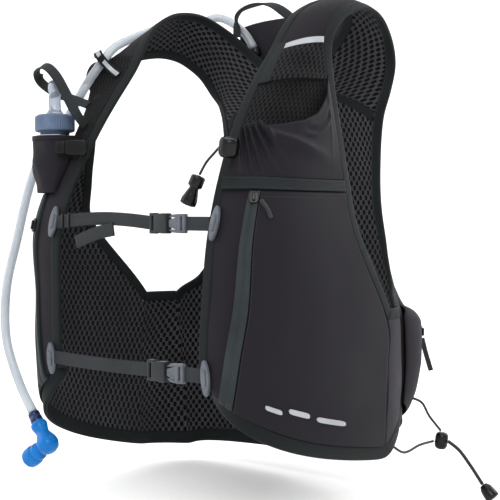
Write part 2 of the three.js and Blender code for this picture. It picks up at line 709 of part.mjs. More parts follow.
// Chest straps: webbing from rail to rail with a fastened side buckle.
const strapRows = {
  upper: { station: 4.33, high: -220, buckle: 54, lift: 4 },
  lower: { station: 1.12, high: -352, buckle: 58, lift: -1 },
};
const socketLength = 24;
const plugLength = 20;
const buckleWidth = 19;
const buckleThickness = 8;
const railLength = 32;
const railWidth = 10;
const railThickness = 5;
const railLift = bindingThickness / 2 + railThickness / 2 + pieceGap;
const forward = vec(0, -1, 0);
const rightward = vec(1, 0, 0);
function lens(length, width) {
  const outline = [];
  const steps = 8;
  for (let n = 0; n < 2 * steps; n += 1) {
    const share = (n % steps) / steps;
    const sign = n < steps ? 1 : -1;
    const along = sign * length * (share - 0.5);
    outline.push([along, -sign * (0.12 + 0.38 * Math.sin(Math.PI * share)) * width]);
  }
  return outline;
}
for (const [name, row] of Object.entries(strapRows)) {
  const { station, high, buckle, lift } = row;
  const rail = onBody(1, station, 0.01, railLift);
  const anchor = rail.x;
  const deep = rail.y + 1;
  const centre = vec(buckle, deep - 1, high);
  const socketAt = centre.clone().addScaledVector(rightward, -(socketLength + pieceGap) / 2);
  const plugAt = centre.clone().addScaledVector(rightward, (plugLength + pieceGap) / 2);
  add(`${name}_buckle_socket`, plate(cutRectangle(socketLength, buckleWidth, 3), buckleThickness,
    socketAt, rightward, forward), plasticColor, 0.35);
  add(`${name}_buckle_plug`, plate(cutRectangle(plugLength, buckleWidth - 1, 4),
    buckleThickness - 1, plugAt, rightward, forward), plasticColor, 0.35);
  const railInset = railWidth / 2 + pieceGap;
  const longFrom = buckle - socketLength - 2 * pieceGap;
  const longTo = -anchor + railInset;
  const longWay = [];
  for (let n = 0; n <= 4; n += 1) {
    const share = n / 4;
    const rise = lift * Math.sin(Math.PI * share);
    longWay.push(vec(lerp(longFrom, longTo, share), deep, high + rise));
  }
  add(`${name}_strap_right`, webbing(longWay, forward, webWidth, webThickness, 10),
    bindingColor, 0.8);
  const shortWay = [vec(buckle + plugLength + 2 * pieceGap, deep, high),
    vec(anchor - railInset, deep, high)];
  add(`${name}_strap_left`, webbing(shortWay, forward, webWidth, webThickness, 2),
    bindingColor, 0.8);
  for (const [side, sideName] of [[1, 'left'], [-1, 'right']]) {
    const railAt = onBody(side, station, 0.01, railLift);
    const railOut = bodyNormal(station, 0.01, side);
    add(`${name}_rail_clip_${sideName}`, plate(lens(railLength, railWidth), railThickness, railAt,
      up, railOut), plasticColor, 0.35);
  }
}
const tailPoints = [vec(-18, -177.4, -226), vec(-40, -178.5, -230), vec(-70, -178, -239)];
add('upper_strap_tail', webbing(tailPoints, forward, webWidth, webThickness, 6),
  bindingColor, 0.8);

// The back pack: a hollow cover over the back, open along its top edge.
const packStart = 16.4;
const packSpread = [[16.4, 0.8], [19.5, 0.72], [20.4, 0.74], [21, 0.95], [23, 0.95]];
const packDepth = [[16.4, 16], [18, 20], [20, 22], [21, 24], [21.8, 22], [22.4, 15], [22.8, 7],
  [23, 1]];
const packFoot = backHem - 0.04;
const packLift = layerLift + 2;
const packTopHalf = 84;
const packTopDeep = 84;
const packTopHigh = 7;
const collarShare = 0.3;
function packPoint(down, over) {
  const side = over < 0 ? -1 : 1;
  const away = Math.abs(over);
  const station = lerp(packStart, packFoot, Math.max(0, (down - collarShare) / (1 - collarShare)));
  const across = away * readTable(packSpread, station);
  const lift = packLift + readTable(packDepth, station) * (1 - away ** 2.6) ** 0.6;
  const normal = bodyNormal(station, Math.max(across, 0.001), side);
  const point = bodyPoint(station, across, side).addScaledVector(normal, lift);
  if (down >= collarShare) return point;
  const high = 1 - down / collarShare;
  const bend = high ** 3;
  point.x = lerp(point.x, over * packTopHalf, high);
  point.y = lerp(point.y, packTopDeep - 3 * over * over, bend);
  point.z = lerp(point.z, packTopHigh - 6 * over ** 4, high);
  return point;
}
function numericNormal(at, down, over) {
  const step = 0.01;
  const along = at(Math.min(1, down + step), over).sub(at(Math.max(0, down - step), over));
  const round = at(down, Math.min(1, over + step)).sub(at(down, Math.max(-1, over - step)));
  return along.cross(round).normalize();
}
const packSkin = newSkin();
packSkin.patch(15, 12, (down, share) => {
  const over = lerp(-1, 1, share);
  const normal = numericNormal(packPoint, down, over * 0.98);
  return { point: packPoint(down, over), normal, low: 0, high: clothThickness };
});
add('back_pack', packSkin.solid(), collarColor, 0.85);

// The hang loop over the back neck.
const loopPoints = [vec(-74, 65, -11.4), vec(-73, 64, 3), vec(-62, 54, 13), vec(-30, 46, 18),
  vec(-8, 46, 15), vec(8, 52, 4), vec(16, 60, -7)];
const loopFlat = (share) => vec(0, -(Math.cos(Math.PI * share) ** 2), Math.sin(Math.PI * share));
add('hang_loop', webbing(loopPoints, loopFlat, 10, webThickness, 20), bindingColor, 0.8);

// Drinking tube from its port in the pack mouth to the bite valve.
const tubeDiameter = 9.5;
const overShoulder = (station, across) => onBody(-1, station, across, 8.5);
const tubePoints = [vec(-61, 79, -23), vec(-69, 75, -8), vec(-82, 69, 5), vec(-95, 56, 12),
  overShoulder(11.9, 0.3), overShoulder(11.2, 0.42), overShoulder(10.5, 0.52),
  overShoulder(9.8, 0.62), overShoulder(9.1, 0.7), overShoulder(8.5, 0.74),
  overShoulder(7.9, 0.78), overShoulder(7.3, 0.86), vec(-168, -103, -106),
  vec(-189, -117, -138), vec(-198, -130, -177), vec(-203, -145, -240), vec(-208, -155, -292),
  vec(-204, -158, -345), vec(-178, -161, -389), vec(-150, -166, -415)];
add('drinking_tube', cord(tubePoints, tubeDiameter, 8, 40), tubeColor, 0.25);
add('tube_port', turned([[0, 0], [6.5, 0], [6.5, 9], [0, 9]], 12, vec(-57.2, 80, -32.8),
  vec(-0.3, -0.1, 1)), plasticColor, 0.5);
const tubeEnd = tubePoints.at(-1);
const valveAxis = tubeEnd.clone().sub(tubePoints.at(-2)).normalize();
const valveFrom = tubeEnd.clone().addScaledVector(valveAxis, 2 * pieceGap);
add('valve_sleeve', turned([[0, 0], [6, 0], [6.4, 2], [6.4, 13], [0, 13]], 14, valveFrom,
  valveAxis), sleeveColor, 0.4);
const bodyFrom = valveFrom.clone().addScaledVector(valveAxis, 13 + pieceGap);
add('valve_body', turned([[0, 0], [8, 0], [8.5, 3], [7.5, 8], [6.5, 12], [8, 17], [10.5, 22],
  [11, 28], [8, 34], [0, 35]], 12, bodyFrom, valveAxis), valveColor, 0.3);
const mouthAxis = vec(-0.8, -0.1, -0.6).normalize();
const mouthFrom = bodyFrom.clone().addScaledVector(valveAxis, 26).addScaledVector(mouthAxis, 11.3);
add('mouthpiece', turned([[0, 0], [7, 0], [7.5, 4], [10, 9], [10.5, 15], [9, 19], [0, 21]], 12,
  mouthFrom, mouthAxis), valveColor, 0.3);

// The band that holds the tube on the strap.
const keeperArch = [[0.12, 3.2], [0.3, 6], [0.5, 15], [0.66, 22], [0.88, 22], [0.99, 14]];
const keeperStation = (across) => lerp(7.62, 8, across);
const keeperPoints = keeperArch.map(([across, lift]) => (
  onBody(-1, keeperStation(across), across, lift)));
add('tube_keeper', webbing(keeperPoints, (share) => (
  bodyNormal(keeperStation(share), lerp(0.12, 0.98, share), -1)), 9, webThickness, 10), reflectColor, 0.35);

// Drawcord hardware of the stretch pocket.
const lockAt = vec(110.5, -161.4, -162);
add('cord_lock', turned([[0, 0], [7, 0], [9, 3], [9, 15], [7, 18], [0, 18]], 12, lockAt,
  vec(0.2, -0.1, 1)), cordColor, 0.3);
const drawPoints = [vec(101.8, -163, -153), vec(97, -164.5, -158), vec(89, -166, -166),
  vec(82.1, -167.3, -176.7)];
add('drawcord', cord(drawPoints, 2.4, 8, 8), cordColor, 0.7);
add('cord_end', turned([[0, 0], [7.5, 0], [7, 5], [4.5, 15], [6.5, 17], [6.5, 27], [0, 28]], 8,
  vec(71, -171, -203), vec(0.42, 0.14, 1)), cordColor, 0.4);

// Sliders with their pulls.
const leftSliderAt = onBody(1, 4.72, 0.315, coverTop + 2.6);
add('left_zip_slider', plate(cutRectangle(11, 9, 2), 4, leftSliderAt, vec(0, 0, 1),
  bodyNormal(4.72, 0.315, 1)), plasticColor, 0.35);
const leftPull = [onBody(1, 4.66, 0.37, coverTop + 2.4), onBody(1, 4.5, 0.42, coverTop + 2),
  onBody(1, 4.34, 0.45, coverTop + 2)];
add('left_zip_pull', webbing(leftPull, bodyNormal(4.5, 0.42, 1), 3.4, 2, 5), cordColor, 0.5);
const rightSliderAt = onBody(-1, 4.2, 0.28, coverTop + 2.4);
add('right_zip_slider', plate(cutRectangle(14, 9, 2), 4, rightSliderAt, vec(0, 0, 1),
  bodyNormal(4.2, 0.28, -1)), plasticColor, 0.35);

// Side pocket zip and bungee on the wearer's left.
const sideSliderStandoff = vec(2.299373, 1.699972, 0.844116);
const sideSliderAt = packPoint(0.81, 0.71).add(sideSliderStandoff);
add('side_zip_slider', plate(cutRectangle(12, 9, 2), 5, sideSliderAt, vec(0, 0, 1),
  vec(0.8, 0.3, 0)), plasticColor, 0.35);
const sidePull = [vec(0.5, 0, -7), vec(4.5, 0.5, -21), vec(9.5, 2.5, -39)]
  .map((point) => point.add(sideSliderAt));
add('side_zip_pull', webbing(sidePull, vec(0.6, -0.8, 0), 5, 3, 6), cordColor, 0.5);
const bungeeLockAt = vec(179, 84, -447);
const upperBungee = [vec(142.4, 85.2, -399.9), vec(156, 86, -404), vec(166, 84, -416),
  vec(179.5, 84, -429.5)];
add('bungee_upper', cord(upperBungee, 2.6, 8, 8), cordColor, 0.7);
const lowerBungee = [vec(160.1, 23.5, -437.1), vec(166, 36, -445), vec(170, 60, -441),
  vec(173.4, 79.7, -440)];
add('bungee_lower', cord(lowerBungee, 2.6, 8, 8), cordColor, 0.7);
add('bungee_lock', turned([[0, 0], [5, 0], [6.5, 3], [6.5, 13], [5, 16], [0, 16]], 12,
  bungeeLockAt, vec(0.15, 0, 1)), cordColor, 0.35);
const bungeeTail = [vec(188, 84, -439), vec(200, 84, -446), vec(214, 84, -461),
  vec(226, 84, -476)];
add('bungee_tail', cord(bungeeTail, 3.6, 8, 8), cordColor, 0.7);
add('bungee_end', turned([[0, 0], [4, 0], [6, 4], [7.5, 15], [0, 16]], 8, vec(226.5, 84, -476.6),
  vec(0.7, 0, -0.7)), cordColor, 0.4);

export default vest;
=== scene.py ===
import math
import bpy
import bmesh
import numpy as np
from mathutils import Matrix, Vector


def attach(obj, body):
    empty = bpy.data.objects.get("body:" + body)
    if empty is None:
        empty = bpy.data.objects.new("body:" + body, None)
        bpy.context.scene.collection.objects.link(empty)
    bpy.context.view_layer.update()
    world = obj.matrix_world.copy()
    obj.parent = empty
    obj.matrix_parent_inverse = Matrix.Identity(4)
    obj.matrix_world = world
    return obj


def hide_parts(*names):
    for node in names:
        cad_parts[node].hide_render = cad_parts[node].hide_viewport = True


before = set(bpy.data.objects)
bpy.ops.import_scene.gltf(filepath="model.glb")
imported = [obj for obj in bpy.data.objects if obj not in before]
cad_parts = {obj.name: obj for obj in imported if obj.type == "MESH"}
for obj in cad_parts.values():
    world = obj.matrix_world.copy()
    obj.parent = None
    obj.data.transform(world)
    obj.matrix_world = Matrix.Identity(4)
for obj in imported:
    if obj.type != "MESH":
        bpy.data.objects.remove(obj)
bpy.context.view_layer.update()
mm = 0.001

# Camera, placed first.
cameraValues = {"azimuth": 40.0, "distance": 1.150, "height": -0.208, "lens": 78.84, "shiftUp": -0.08,
                "sensor": 36, "near": 0.05, "far": 30}


def linked(name, data):
    piece = bpy.data.objects.new(name, data)
    bpy.context.scene.collection.objects.link(piece)
    return piece


def addCamera(values):
    turn = math.radians(values["azimuth"])
    data = bpy.data.cameras.new("camera")
    data.lens = values["lens"]
    data.sensor_width = values["sensor"]
    data.shift_y = values["shiftUp"]
    data.clip_start = values["near"]
    data.clip_end = values["far"]
    camera = linked("camera", data)
    reach = values["distance"]
    camera.location = (reach * math.sin(turn), -reach * math.cos(turn), values["height"])
    camera.rotation_euler = (math.radians(90), 0, turn)
    bpy.context.scene.camera = camera


addCamera(cameraValues)
print("camera placed")

# The curved surface that every cloth piece lies on, in millimetres. Stations run from the front hem
# over the shoulder to the back hem; side is 1 for the wearer's left and -1 for the right.
bodyValues = {
    "halfWidth": 170, "chestDepth": 180, "bodyHeight": 475, "bindingWidth": 8, "hemWidth": 12,
    "panelThickness": 2.8, "clothThickness": 1.4, "coverGap": 1.4, "pieceGap": 0.4,
    "rightNeckLift": 5, "rightShoulderDrop": 20, "rightArmholeForward": 40,
    "rightFrontSag": 30, "rightBackSag": 70, "curveHandle": 0.7, "sideHandle": 0.6, "outerFlare": 3,
    "seamBlend": 0.35, "spineBlend": 0.03, "shoulderStart": (7, 9.5), "shoulderEnd": (13.5, 16),
    "armholeStart": (2.8, 4.4), "armholeEnd": (7, 11), "stationsInHeight": 17,
}
# Shares of the body's sizes: inner edge across, deep, high, outer edge across, deep, high, fullness, rise.
stations = np.array([
    [0.567, -0.958, -0.795, 0.971, 0.011, -0.939, 1.05, -0.020],
    [0.547, -0.983, -0.748, 0.976, 0.017, -0.874, 1.05, -0.010],
    [0.547, -0.989, -0.684, 0.982, 0.028, -0.758, 1.08, 0],
    [0.559, -0.983, -0.600, 0.971, 0.033, -0.640, 1.08, 0],
    [0.576, -0.967, -0.497, 0.953, -0.211, -0.480, 1.10, 0],
    [0.565, -0.889, -0.400, 0.912, -0.250, -0.375, 1.05, 0],
    [0.541, -0.750, -0.291, 0.871, -0.256, -0.288, 0.90, 0],
    [0.529, -0.594, -0.200, 0.829, -0.267, -0.185, 0.70, 0.006],
    [0.529, -0.433, -0.124, 0.812, -0.256, -0.105, 0.50, 0.008],
    [0.541, -0.289, -0.051, 0.818, -0.144, -0.053, 0.35, 0.013],
    [0.553, -0.133, -0.015, 0.824, 0.011, -0.027, 0.20, 0.015],
    [0.559, 0.022, 0.000, 0.818, 0.144, -0.025, 0.10, 0.015],
    [0.541, 0.178, 0.000, 0.800, 0.256, -0.038, 0.10, 0.015],
    [0.471, 0.311, -0.025, 0.765, 0.378, -0.069, 0.20, 0.010],
    [0.341, 0.367, -0.065, 0.729, 0.478, -0.118, 0.40, 0.004],
    [0.176, 0.400, -0.107, 0.688, 0.494, -0.173, 0.50, 0],
    [0, 0.422, -0.128, 0.641, 0.478, -0.240, 0.60, 0],
    [0, 0.489, -0.253, 0.618, 0.478, -0.333, 0.60, 0],
    [0, 0.517, -0.400, 0.618, 0.472, -0.425, 0.70, 0],
    [0, 0.528, -0.547, 0.671, 0.444, -0.522, 0.80, 0],
    [0, 0.522, -0.653, 0.771, 0.367, -0.600, 0.90, 0],
    [0, 0.511, -0.747, 0.882, 0.278, -0.640, 1.00, 0],
    [0, 0.500, -0.874, 0.876, 0.311, -0.758, 1.00, 0],
    [0, 0.489, -0.998, 0.847, 0.333, -0.867, 1.00, 0],
])
sideTop = 3
shoulderSeam = 11
neckDip = 16
armholeFoot = 21
backHem = 23
half = bodyValues["panelThickness"] / 2
layerLift = half + bodyValues["coverGap"]
coverTop = layerLift + bodyValues["clothThickness"]
seamShare = bodyValues["pieceGap"] / 2 / (bodyValues["bodyHeight"] / bodyValues["stationsInHeight"])
bothSides = ((1, "left"), (-1, "right"))


def lerp(a, b, share):
    return a + (b - a) * share


def smooth(start, end, value):
    share = np.clip((value - start) / (end - start), 0, 1)
    return share * share * (3 - 2 * share)


def unit(v):
    return v / np.maximum(np.linalg.norm(v, axis=-1, keepdims=True), 1e-12)


def readTable(table, place):
    table = np.array(table, float)
    return np.interp(place, table[:, 0], table[:, 1])


def outlineTable():
    v = bodyValues
    scale = [v["halfWidth"], v["chestDepth"], v["bodyHeight"]] * 2 + [1, v["bodyHeight"]]
    return stations * np.array(scale)


# One column of the table at any station, on a smooth curve through the rows.
def rowValue(rows, station, column):
    inner = column <= 2
    first = np.where(inner & (station > neckDip), neckDip, 0)
    last = np.where(inner & (station <= neckDip), neckDip, backHem)
    held = np.clip(station, first, last)
    low = np.minimum(np.floor(held), last - 1).astype(int)
    share = held - low
    before = rows[np.maximum(low - 1, first), column]
    after = rows[np.minimum(low + 2, last), column]
    if inner:
        mirrored = -1 if column == 0 else 1
        after = np.where((last == neckDip) & (low == neckDip - 1), mirrored * rows[low, column], after)
    p, q = rows[low, column], rows[low + 1, column]
    return 0.5 * (2 * p + (q - before) * share + (2 * before - 5 * p + 4 * q - after) * share ** 2
                  + (3 * p - before - 3 * q + after) * share ** 3)


def surfacePoint(rows, station, across, side):
    v = bodyValues
    station, across = np.broadcast_arrays(np.asarray(station, float), np.asarray(across, float))
    value = [rowValue(rows, station, column) for column in range(8)]
    inner = np.stack([np.maximum(0, value[0]), value[1], value[2]], -1)
    outer = np.stack([value[3], value[4], value[5]], -1)
    if side < 0:
        top = smooth(*v["shoulderStart"], station) * (1 - smooth(*v["shoulderEnd"], station))
        front = smooth(*v["armholeStart"], station) * (1 - smooth(*v["armholeEnd"], station))
        inner[..., 2] += v["rightNeckLift"] * top
        outer[..., 2] -= v["rightShoulderDrop"] * top
        outer[..., 1] -= v["rightArmholeForward"] * front
        outer[..., 2] -= v["rightFrontSag"] * smooth(sideTop, 0, station)
        outer[..., 2] -= v["rightBackSag"] * smooth(armholeFoot, backHem, station)
    middle = (inner + outer) / 2
    corner = np.stack([outer[..., 0] + v["outerFlare"], inner[..., 1], middle[..., 2]], -1)
    pull = lerp(middle, corner, value[6][..., None])
    pull[..., 2] = middle[..., 2] + value[7]
    near = lerp(inner, pull, v["curveHandle"])
    far = lerp(outer, pull, v["curveHandle"])
    t = across[..., None]
    rest = 1 - t
    point = inner * rest ** 3 + near * 3 * rest ** 2 * t + far * 3 * rest * t ** 2 + outer * t ** 3
    return point * np.array([side, 1, 1])


def surfaceNormal(rows, station, across, side):
    station, across = np.broadcast_arrays(np.asarray(station, float), np.asarray(across, float))
    step = 0.02
    last = np.where((station <= neckDip) & (across == 0), neckDip, backHem)
    along = surfacePoint(rows, np.minimum(last, station + step), across, side)
    along = along - surfacePoint(rows, np.maximum(0, station - step), across, side)
    over = surfacePoint(rows, station, np.minimum(1, across + step), side)
    over = over - surfacePoint(rows, station, np.maximum(0, across - step), side)
    return unit(np.cross(over, along) * side)


# The table drawn in by the bindings and the hem, so that the panels end where the tape begins.
def cutTable(outline):
    v = bodyValues
    inset = v["bindingWidth"] + v["pieceGap"]
    rows = outline.copy()
    for index in range(len(rows)):
        for column, across, sign in ((0, 0, -1), (3, 1, 1)):
            outer = across == 1
            if (not outer and index > neckDip) or (outer and (index <= sideTop or index >= armholeFoot)):
                continue
            if not outer and index == neckDip:
                rows[index, 2] -= inset
                continue
            limit = backHem if outer else neckDip
            along = surfacePoint(outline, min(limit, index + 0.05), across, 1)
            along = along - surfacePoint(outline, max(0, index - 0.05), across, 1)
            normal = surfaceNormal(outline, index, across or 0.02, 1)
            outward = unit(np.cross(along, normal)) * sign
            rows[index, column:column + 3] -= outward * inset
        if index in (sideTop, armholeFoot):
            rows[index, 5] -= inset
        if index in (0, backHem):
            rows[index, 2] += v["hemWidth"] + v["pieceGap"]
            rows[index, 5] += v["hemWidth"] + v["pieceGap"]
    return rows


cutRows = cutTable(outlineTable())


def bodyPoint(station, across, side):
    return surfacePoint(cutRows, station, across, side)


def bodyNormal(station, across, side):
    return surfaceNormal(cutRows, station, across, side)


# A point held off the body by lift.
def onBody(side, station, across, lift):
    lift = np.asarray(lift, float)[..., None]
    return bodyPoint(station, across, side) + bodyNormal(station, across, side) * lift


# The side panel joins front and back; around runs from the front seam to the back seam.
def sidePoint(high, around, side):
    high, around = np.broadcast_arrays(np.asarray(high, float), np.asarray(around, float))
    front = bodyPoint(sideTop * high, 1, side)
    back = bodyPoint(backHem - (backHem - armholeFoot) * high, 1, side)
    middle = (front + back) / 2
    middle[..., 0] = side * (np.maximum(abs(front[..., 0]), abs(back[..., 0])) + bodyValues["outerFlare"])
    near = lerp(front, middle, bodyValues["sideHandle"])
    far = lerp(back, middle, bodyValues["sideHandle"])
    t = around[..., None]
    rest = 1 - t
    return front * rest ** 3 + near * 3 * rest ** 2 * t + far * 3 * rest * t ** 2 + back * t ** 3


def sideNormal(high, around, side):
    high, around = np.broadcast_arrays(np.asarray(high, float), np.asarray(around, float))
    step = 0.02
    along = sidePoint(np.minimum(1, high + step), around, side)
    along = along - sidePoint(np.maximum(0, high - step), around, side)
    over = sidePoint(high, np.minimum(1, around + step), side)
    over = over - sidePoint(high, np.maximum(0, around - step), side)
    normal = unit(np.cross(over, along) * side)
    front = bodyNormal(sideTop * high, 1, side)
    back = bodyNormal(backHem - (backHem - armholeFoot) * high, 1, side)
    blend = bodyValues["seamBlend"]
    normal = lerp(normal, front, (1 - smooth(0, blend, around))[..., None])
    normal = lerp(normal, back, smooth(1 - blend, 1, around)[..., None])
    return unit(normal)


# Both halves of the back; the normals turn smoothly into each other at the spine.
def acrossSpine(station, across, over):
    pick = (over >= 0)[..., None]
    point = np.where(pick, bodyPoint(station, across, 1), bodyPoint(station, across, -1))
    normal = np.where(pick, bodyNormal(station, across, 1), bodyNormal(station, across, -1))
    spine = np.exp(-(over / bodyValues["spineBlend"]) ** 2)[..., None]
    return point, unit(normal * (1 - spine) + normal * np.array([0, 1, 1]) * spine)


# An even line of count points along a smooth curve through the given points.
def throughPoints(points, count):
    p = np.array(points, float)
    p = np.vstack([2 * p[0] - p[1], p, 2 * p[-1] - p[-2]])
    line = []
    for n in range(1, len(p) - 2):
        a, b, c, d = p[n - 1], p[n], p[n + 1], p[n + 2]
        ta = 0
        tb = ta + max(np.linalg.norm(b - a), 1e-4) ** 0.5
        tc = tb + max(np.linalg.norm(c - b), 1e-4) ** 0.5
        td = tc + max(np.linalg.norm(d - c), 1e-4) ** 0.5
        t = np.linspace(tb, tc, 24, endpoint=False)[:, None]
        e = (tb - t) / (tb - ta) * a + (t - ta) / (tb - ta) * b
        f = (tc - t) / (tc - tb) * b + (t - tb) / (tc - tb) * c
        g = (td - t) / (td - tc) * c + (t - tc) / (td - tc) * d
        h = (tc - t) / (tc - ta) * e + (t - ta) / (tc - ta) * f
        k = (td - t) / (td - tb) * f + (t - tb) / (td - tb) * g
        line.append((tc - t) / (tc - tb) * h + (t - tb) / (tc - tb) * k)
    line = np.vstack(line + [p[-2:-1]])
    return evenly(line, count)


def travelled(line):
    return np.concatenate([[0], np.cumsum(np.linalg.norm(np.diff(line, axis=0), axis=1))])


def evenly(line, count):
    total = travelled(line)
    places = np.linspace(0, total[-1], count)
    return np.stack([np.interp(places, total, line[:, k]) for k in range(3)], -1)


def lineLength(line):
    return float(np.linalg.norm(np.diff(line, axis=0), axis=1).sum())


print("surface ready")


# Node helpers for the materials.
def linear(r, g, b):
    out = [c / 255 / 12.92 if c <= 10 else ((c / 255 + 0.055) / 1.055) ** 2.4 for c in (r, g, b)]
    return (*out, 1)


class Tree:
    def __init__(self, tree):
        self.tree = tree

    def feed(self, node, name, value):
        if isinstance(value, bpy.types.NodeSocket):
            self.tree.links.new(value, node.inputs[name])
        else:
            node.inputs[name].default_value = value

    def add(self, kind, values=None, **settings):
        node = self.tree.nodes.new(kind)
        for name, value in settings.items():
            setattr(node, name, value)
        for name, value in (values or {}).items():
            self.feed(node, name, value)
        return node

    def group(self, group, values):
        return self.add("ShaderNodeGroup", values, node_tree=group)

    def clothMap(self):
        return self.add("ShaderNodeUVMap", uv_map="cloth").outputs[0]

    def objectMap(self):
        return self.add("ShaderNodeTexCoord").outputs["Object"]

    def math(self, operation, a, b=0.0, c=0.0):
        return self.add("ShaderNodeMath", {0: a, 1: b, 2: c}, operation=operation).outputs[0]

    def ramp(self, value, low, high, outLow=0.0, outHigh=1.0):
        values = {"Value": value, "From Min": low, "From Max": high, "To Min": outLow, "To Max": outHigh}
        return self.add("ShaderNodeMapRange", values, interpolation_type="SMOOTHSTEP").outputs[0]

    def absSine(self, value):
        return self.math("ABSOLUTE", self.math("SINE", value))

    def mix(self, factor, a, b):
        return self.add("ShaderNodeMix", {0: factor, 6: a, 7: b}, data_type="RGBA").outputs[2]


def newGroup(name, numbers, outputs):
    group = bpy.data.node_groups.new(name, "ShaderNodeTree")
    group.interface.new_socket("Map", in_out="INPUT", socket_type="NodeSocketVector")
    for label, value in numbers.items():
        socket = group.interface.new_socket(label, in_out="INPUT", socket_type="NodeSocketFloat")
        socket.default_value = value
    for label in outputs:
        group.interface.new_socket(label, in_out="OUTPUT", socket_type="NodeSocketFloat")
    t = Tree(group)
    source, out = t.add("NodeGroupInput"), t.add("NodeGroupOutput")
    parts = t.add("ShaderNodeSeparateXYZ", {0: source.outputs["Map"]})
    return group, t, source.outputs, out, parts.outputs[0], parts.outputs[1]


def weaveGroup():
    numbers = {"Pitch": 0.8, "Stretch": 1.0}
    group, t, source, out, x, y = newGroup("plainWeave", numbers, ["Height"])
    turn = t.math("DIVIDE", math.pi, source["Pitch"])
    across = t.math("MULTIPLY", x, turn)
    along = t.math("MULTIPLY", t.math("MULTIPLY", y, turn), source["Stretch"])
    over = t.math("MULTIPLY", t.math("SINE", across), t.math("SINE", along))
    side = t.math("GREATER_THAN", over, 0.0)
    first = t.math("MULTIPLY", t.absSine(across), side)
    second = t.math("MULTIPLY", t.absSine(along), t.math("SUBTRACT", 1.0, side))
    t.feed(out, "Height", t.math("ADD", first, second))
    return group


def holesGroup():
    numbers = {"Pitch across": 7.6, "Pitch along": 5.2, "Hole across": 2.0, "Hole along": 2.9}
    group, t, source, out, x, y = newGroup("staggeredHoles", numbers, ["Hole", "Height"])
    rows = t.math("DIVIDE", y, source["Pitch along"])
    rowNumber = t.math("FLOOR", rows)
    shift = t.math("MULTIPLY", t.math("FLOORED_MODULO", rowNumber, 2.0), 0.5)
    columns = t.math("ADD", t.math("DIVIDE", x, source["Pitch across"]), shift)
    squares = []
    for place, whole, way in ((columns, t.math("FLOOR", columns), "across"), (rows, rowNumber, "along")):
        away = t.math("SUBTRACT", t.math("SUBTRACT", place, whole), 0.5)
        away = t.math("DIVIDE", t.math("MULTIPLY", away, source[f"Pitch {way}"]), source[f"Hole {way}"])
        squares.append(t.math("POWER", t.math("ABSOLUTE", away), 2.4))
    distance = t.math("ADD", *squares)
    t.feed(out, "Hole", t.ramp(distance, 0.75, 1.25, 1.0, 0.0))
    t.feed(out, "Height", t.ramp(distance, 0.5, 2.2))
    return group


def ribsGroup():
    group, t, source, out, x, y = newGroup("tapeRibs", {"Pitch": 1.1}, ["Height"])
    rib = t.absSine(t.math("MULTIPLY", y, t.math("DIVIDE", math.pi, source["Pitch"])))
    yarn = t.absSine(t.math("MULTIPLY", x, 3.4))
    t.feed(out, "Height", t.math("ADD", rib, t.math("MULTIPLY", yarn, 0.35)))
    return group


weave = weaveGroup()
holes = holesGroup()
ribs = ribsGroup()


def cloudy(t, scale, detail=3.0):
    values = {"Vector": t.objectMap(), "Scale": scale, "Detail": detail, "Roughness": 0.55}
    return t.add("ShaderNodeTexNoise", values).outputs["Fac"]


def newMaterial(name, values):
    material = bpy.data.materials.new(name)
    material.use_nodes = True
    shader = material.node_tree.nodes["Principled BSDF"]
    for socket, value in values.items():
        shader.inputs[socket].default_value = value
    return material, Tree(material.node_tree), shader


def finishMaterial(t, shader, color, rough, height, strength, depth):
    t.feed(shader, "Base Color", color)
    t.feed(shader, "Roughness", rough)
    bump = t.add("ShaderNodeBump", {"Height": height, "Strength": strength, "Distance": depth})
    t.feed(shader, "Normal", bump.outputs[0])


def scaled(color, factor):
    return (color[0] * factor, color[1] * factor, color[2] * factor, 1)


def patchy(t, cloud, color, low, high, top=0.7):
    return t.mix(t.ramp(cloud, 0.3, top), scaled(color, low), scaled(color, high))


def clothMaterial(name, rgb, pitch, worn, sheen, rough, strength):
    color = linear(*rgb)
    looks = {"Sheen Weight": sheen, "Sheen Roughness": 0.45, "Specular IOR Level": 0.07}
    material, t, shader = newMaterial(name, looks)
    weaving = t.group(weave, {"Map": t.clothMap(), "Pitch": pitch, "Stretch": 1.0}).outputs["Height"]
    cloud = cloudy(t, 14.0)
    tone = patchy(t, cloud, color, 1 - worn, 1 + worn)
    # Painted shade: the cloth is darker in the grooves of the weave and lighter on the yarn tops.
    tone = t.mix(t.math("MULTIPLY", weaving, 0.3), scaled(color, 0.7), tone)
    height = t.math("ADD", t.math("MULTIPLY", weaving, 0.7), t.math("MULTIPLY", cloudy(t, 900.0, 2.0), 0.5))
    roughness = t.ramp(cloud, 0.2, 0.8, rough - 0.08, rough + 0.08)
    finishMaterial(t, shader, tone, roughness, height, strength, 0.0004)
    return material


def tapeMaterial(name, rgb, pitch=1.1, rough=0.6, strength=0.55):
    color = linear(*rgb)
    looks = {"Sheen Weight": 0.015, "Sheen Roughness": 0.4, "Specular IOR Level": 0.1}
    material, t, shader = newMaterial(name, looks)
    rib = t.group(ribs, {"Map": t.clothMap(), "Pitch": pitch}).outputs["Height"]
    cloud = cloudy(t, 22.0)
    # Painted shade: the tape is darker in the grooves between its ribs.
    tone = t.mix(t.ramp(rib, 0.0, 0.6), scaled(color, 0.45), patchy(t, cloud, color, 0.8, 1.25))
    roughness = t.ramp(cloud, 0.2, 0.8, rough - 0.06, rough + 0.08)
    finishMaterial(t, shader, tone, roughness, rib, strength, 0.0005)
    return material


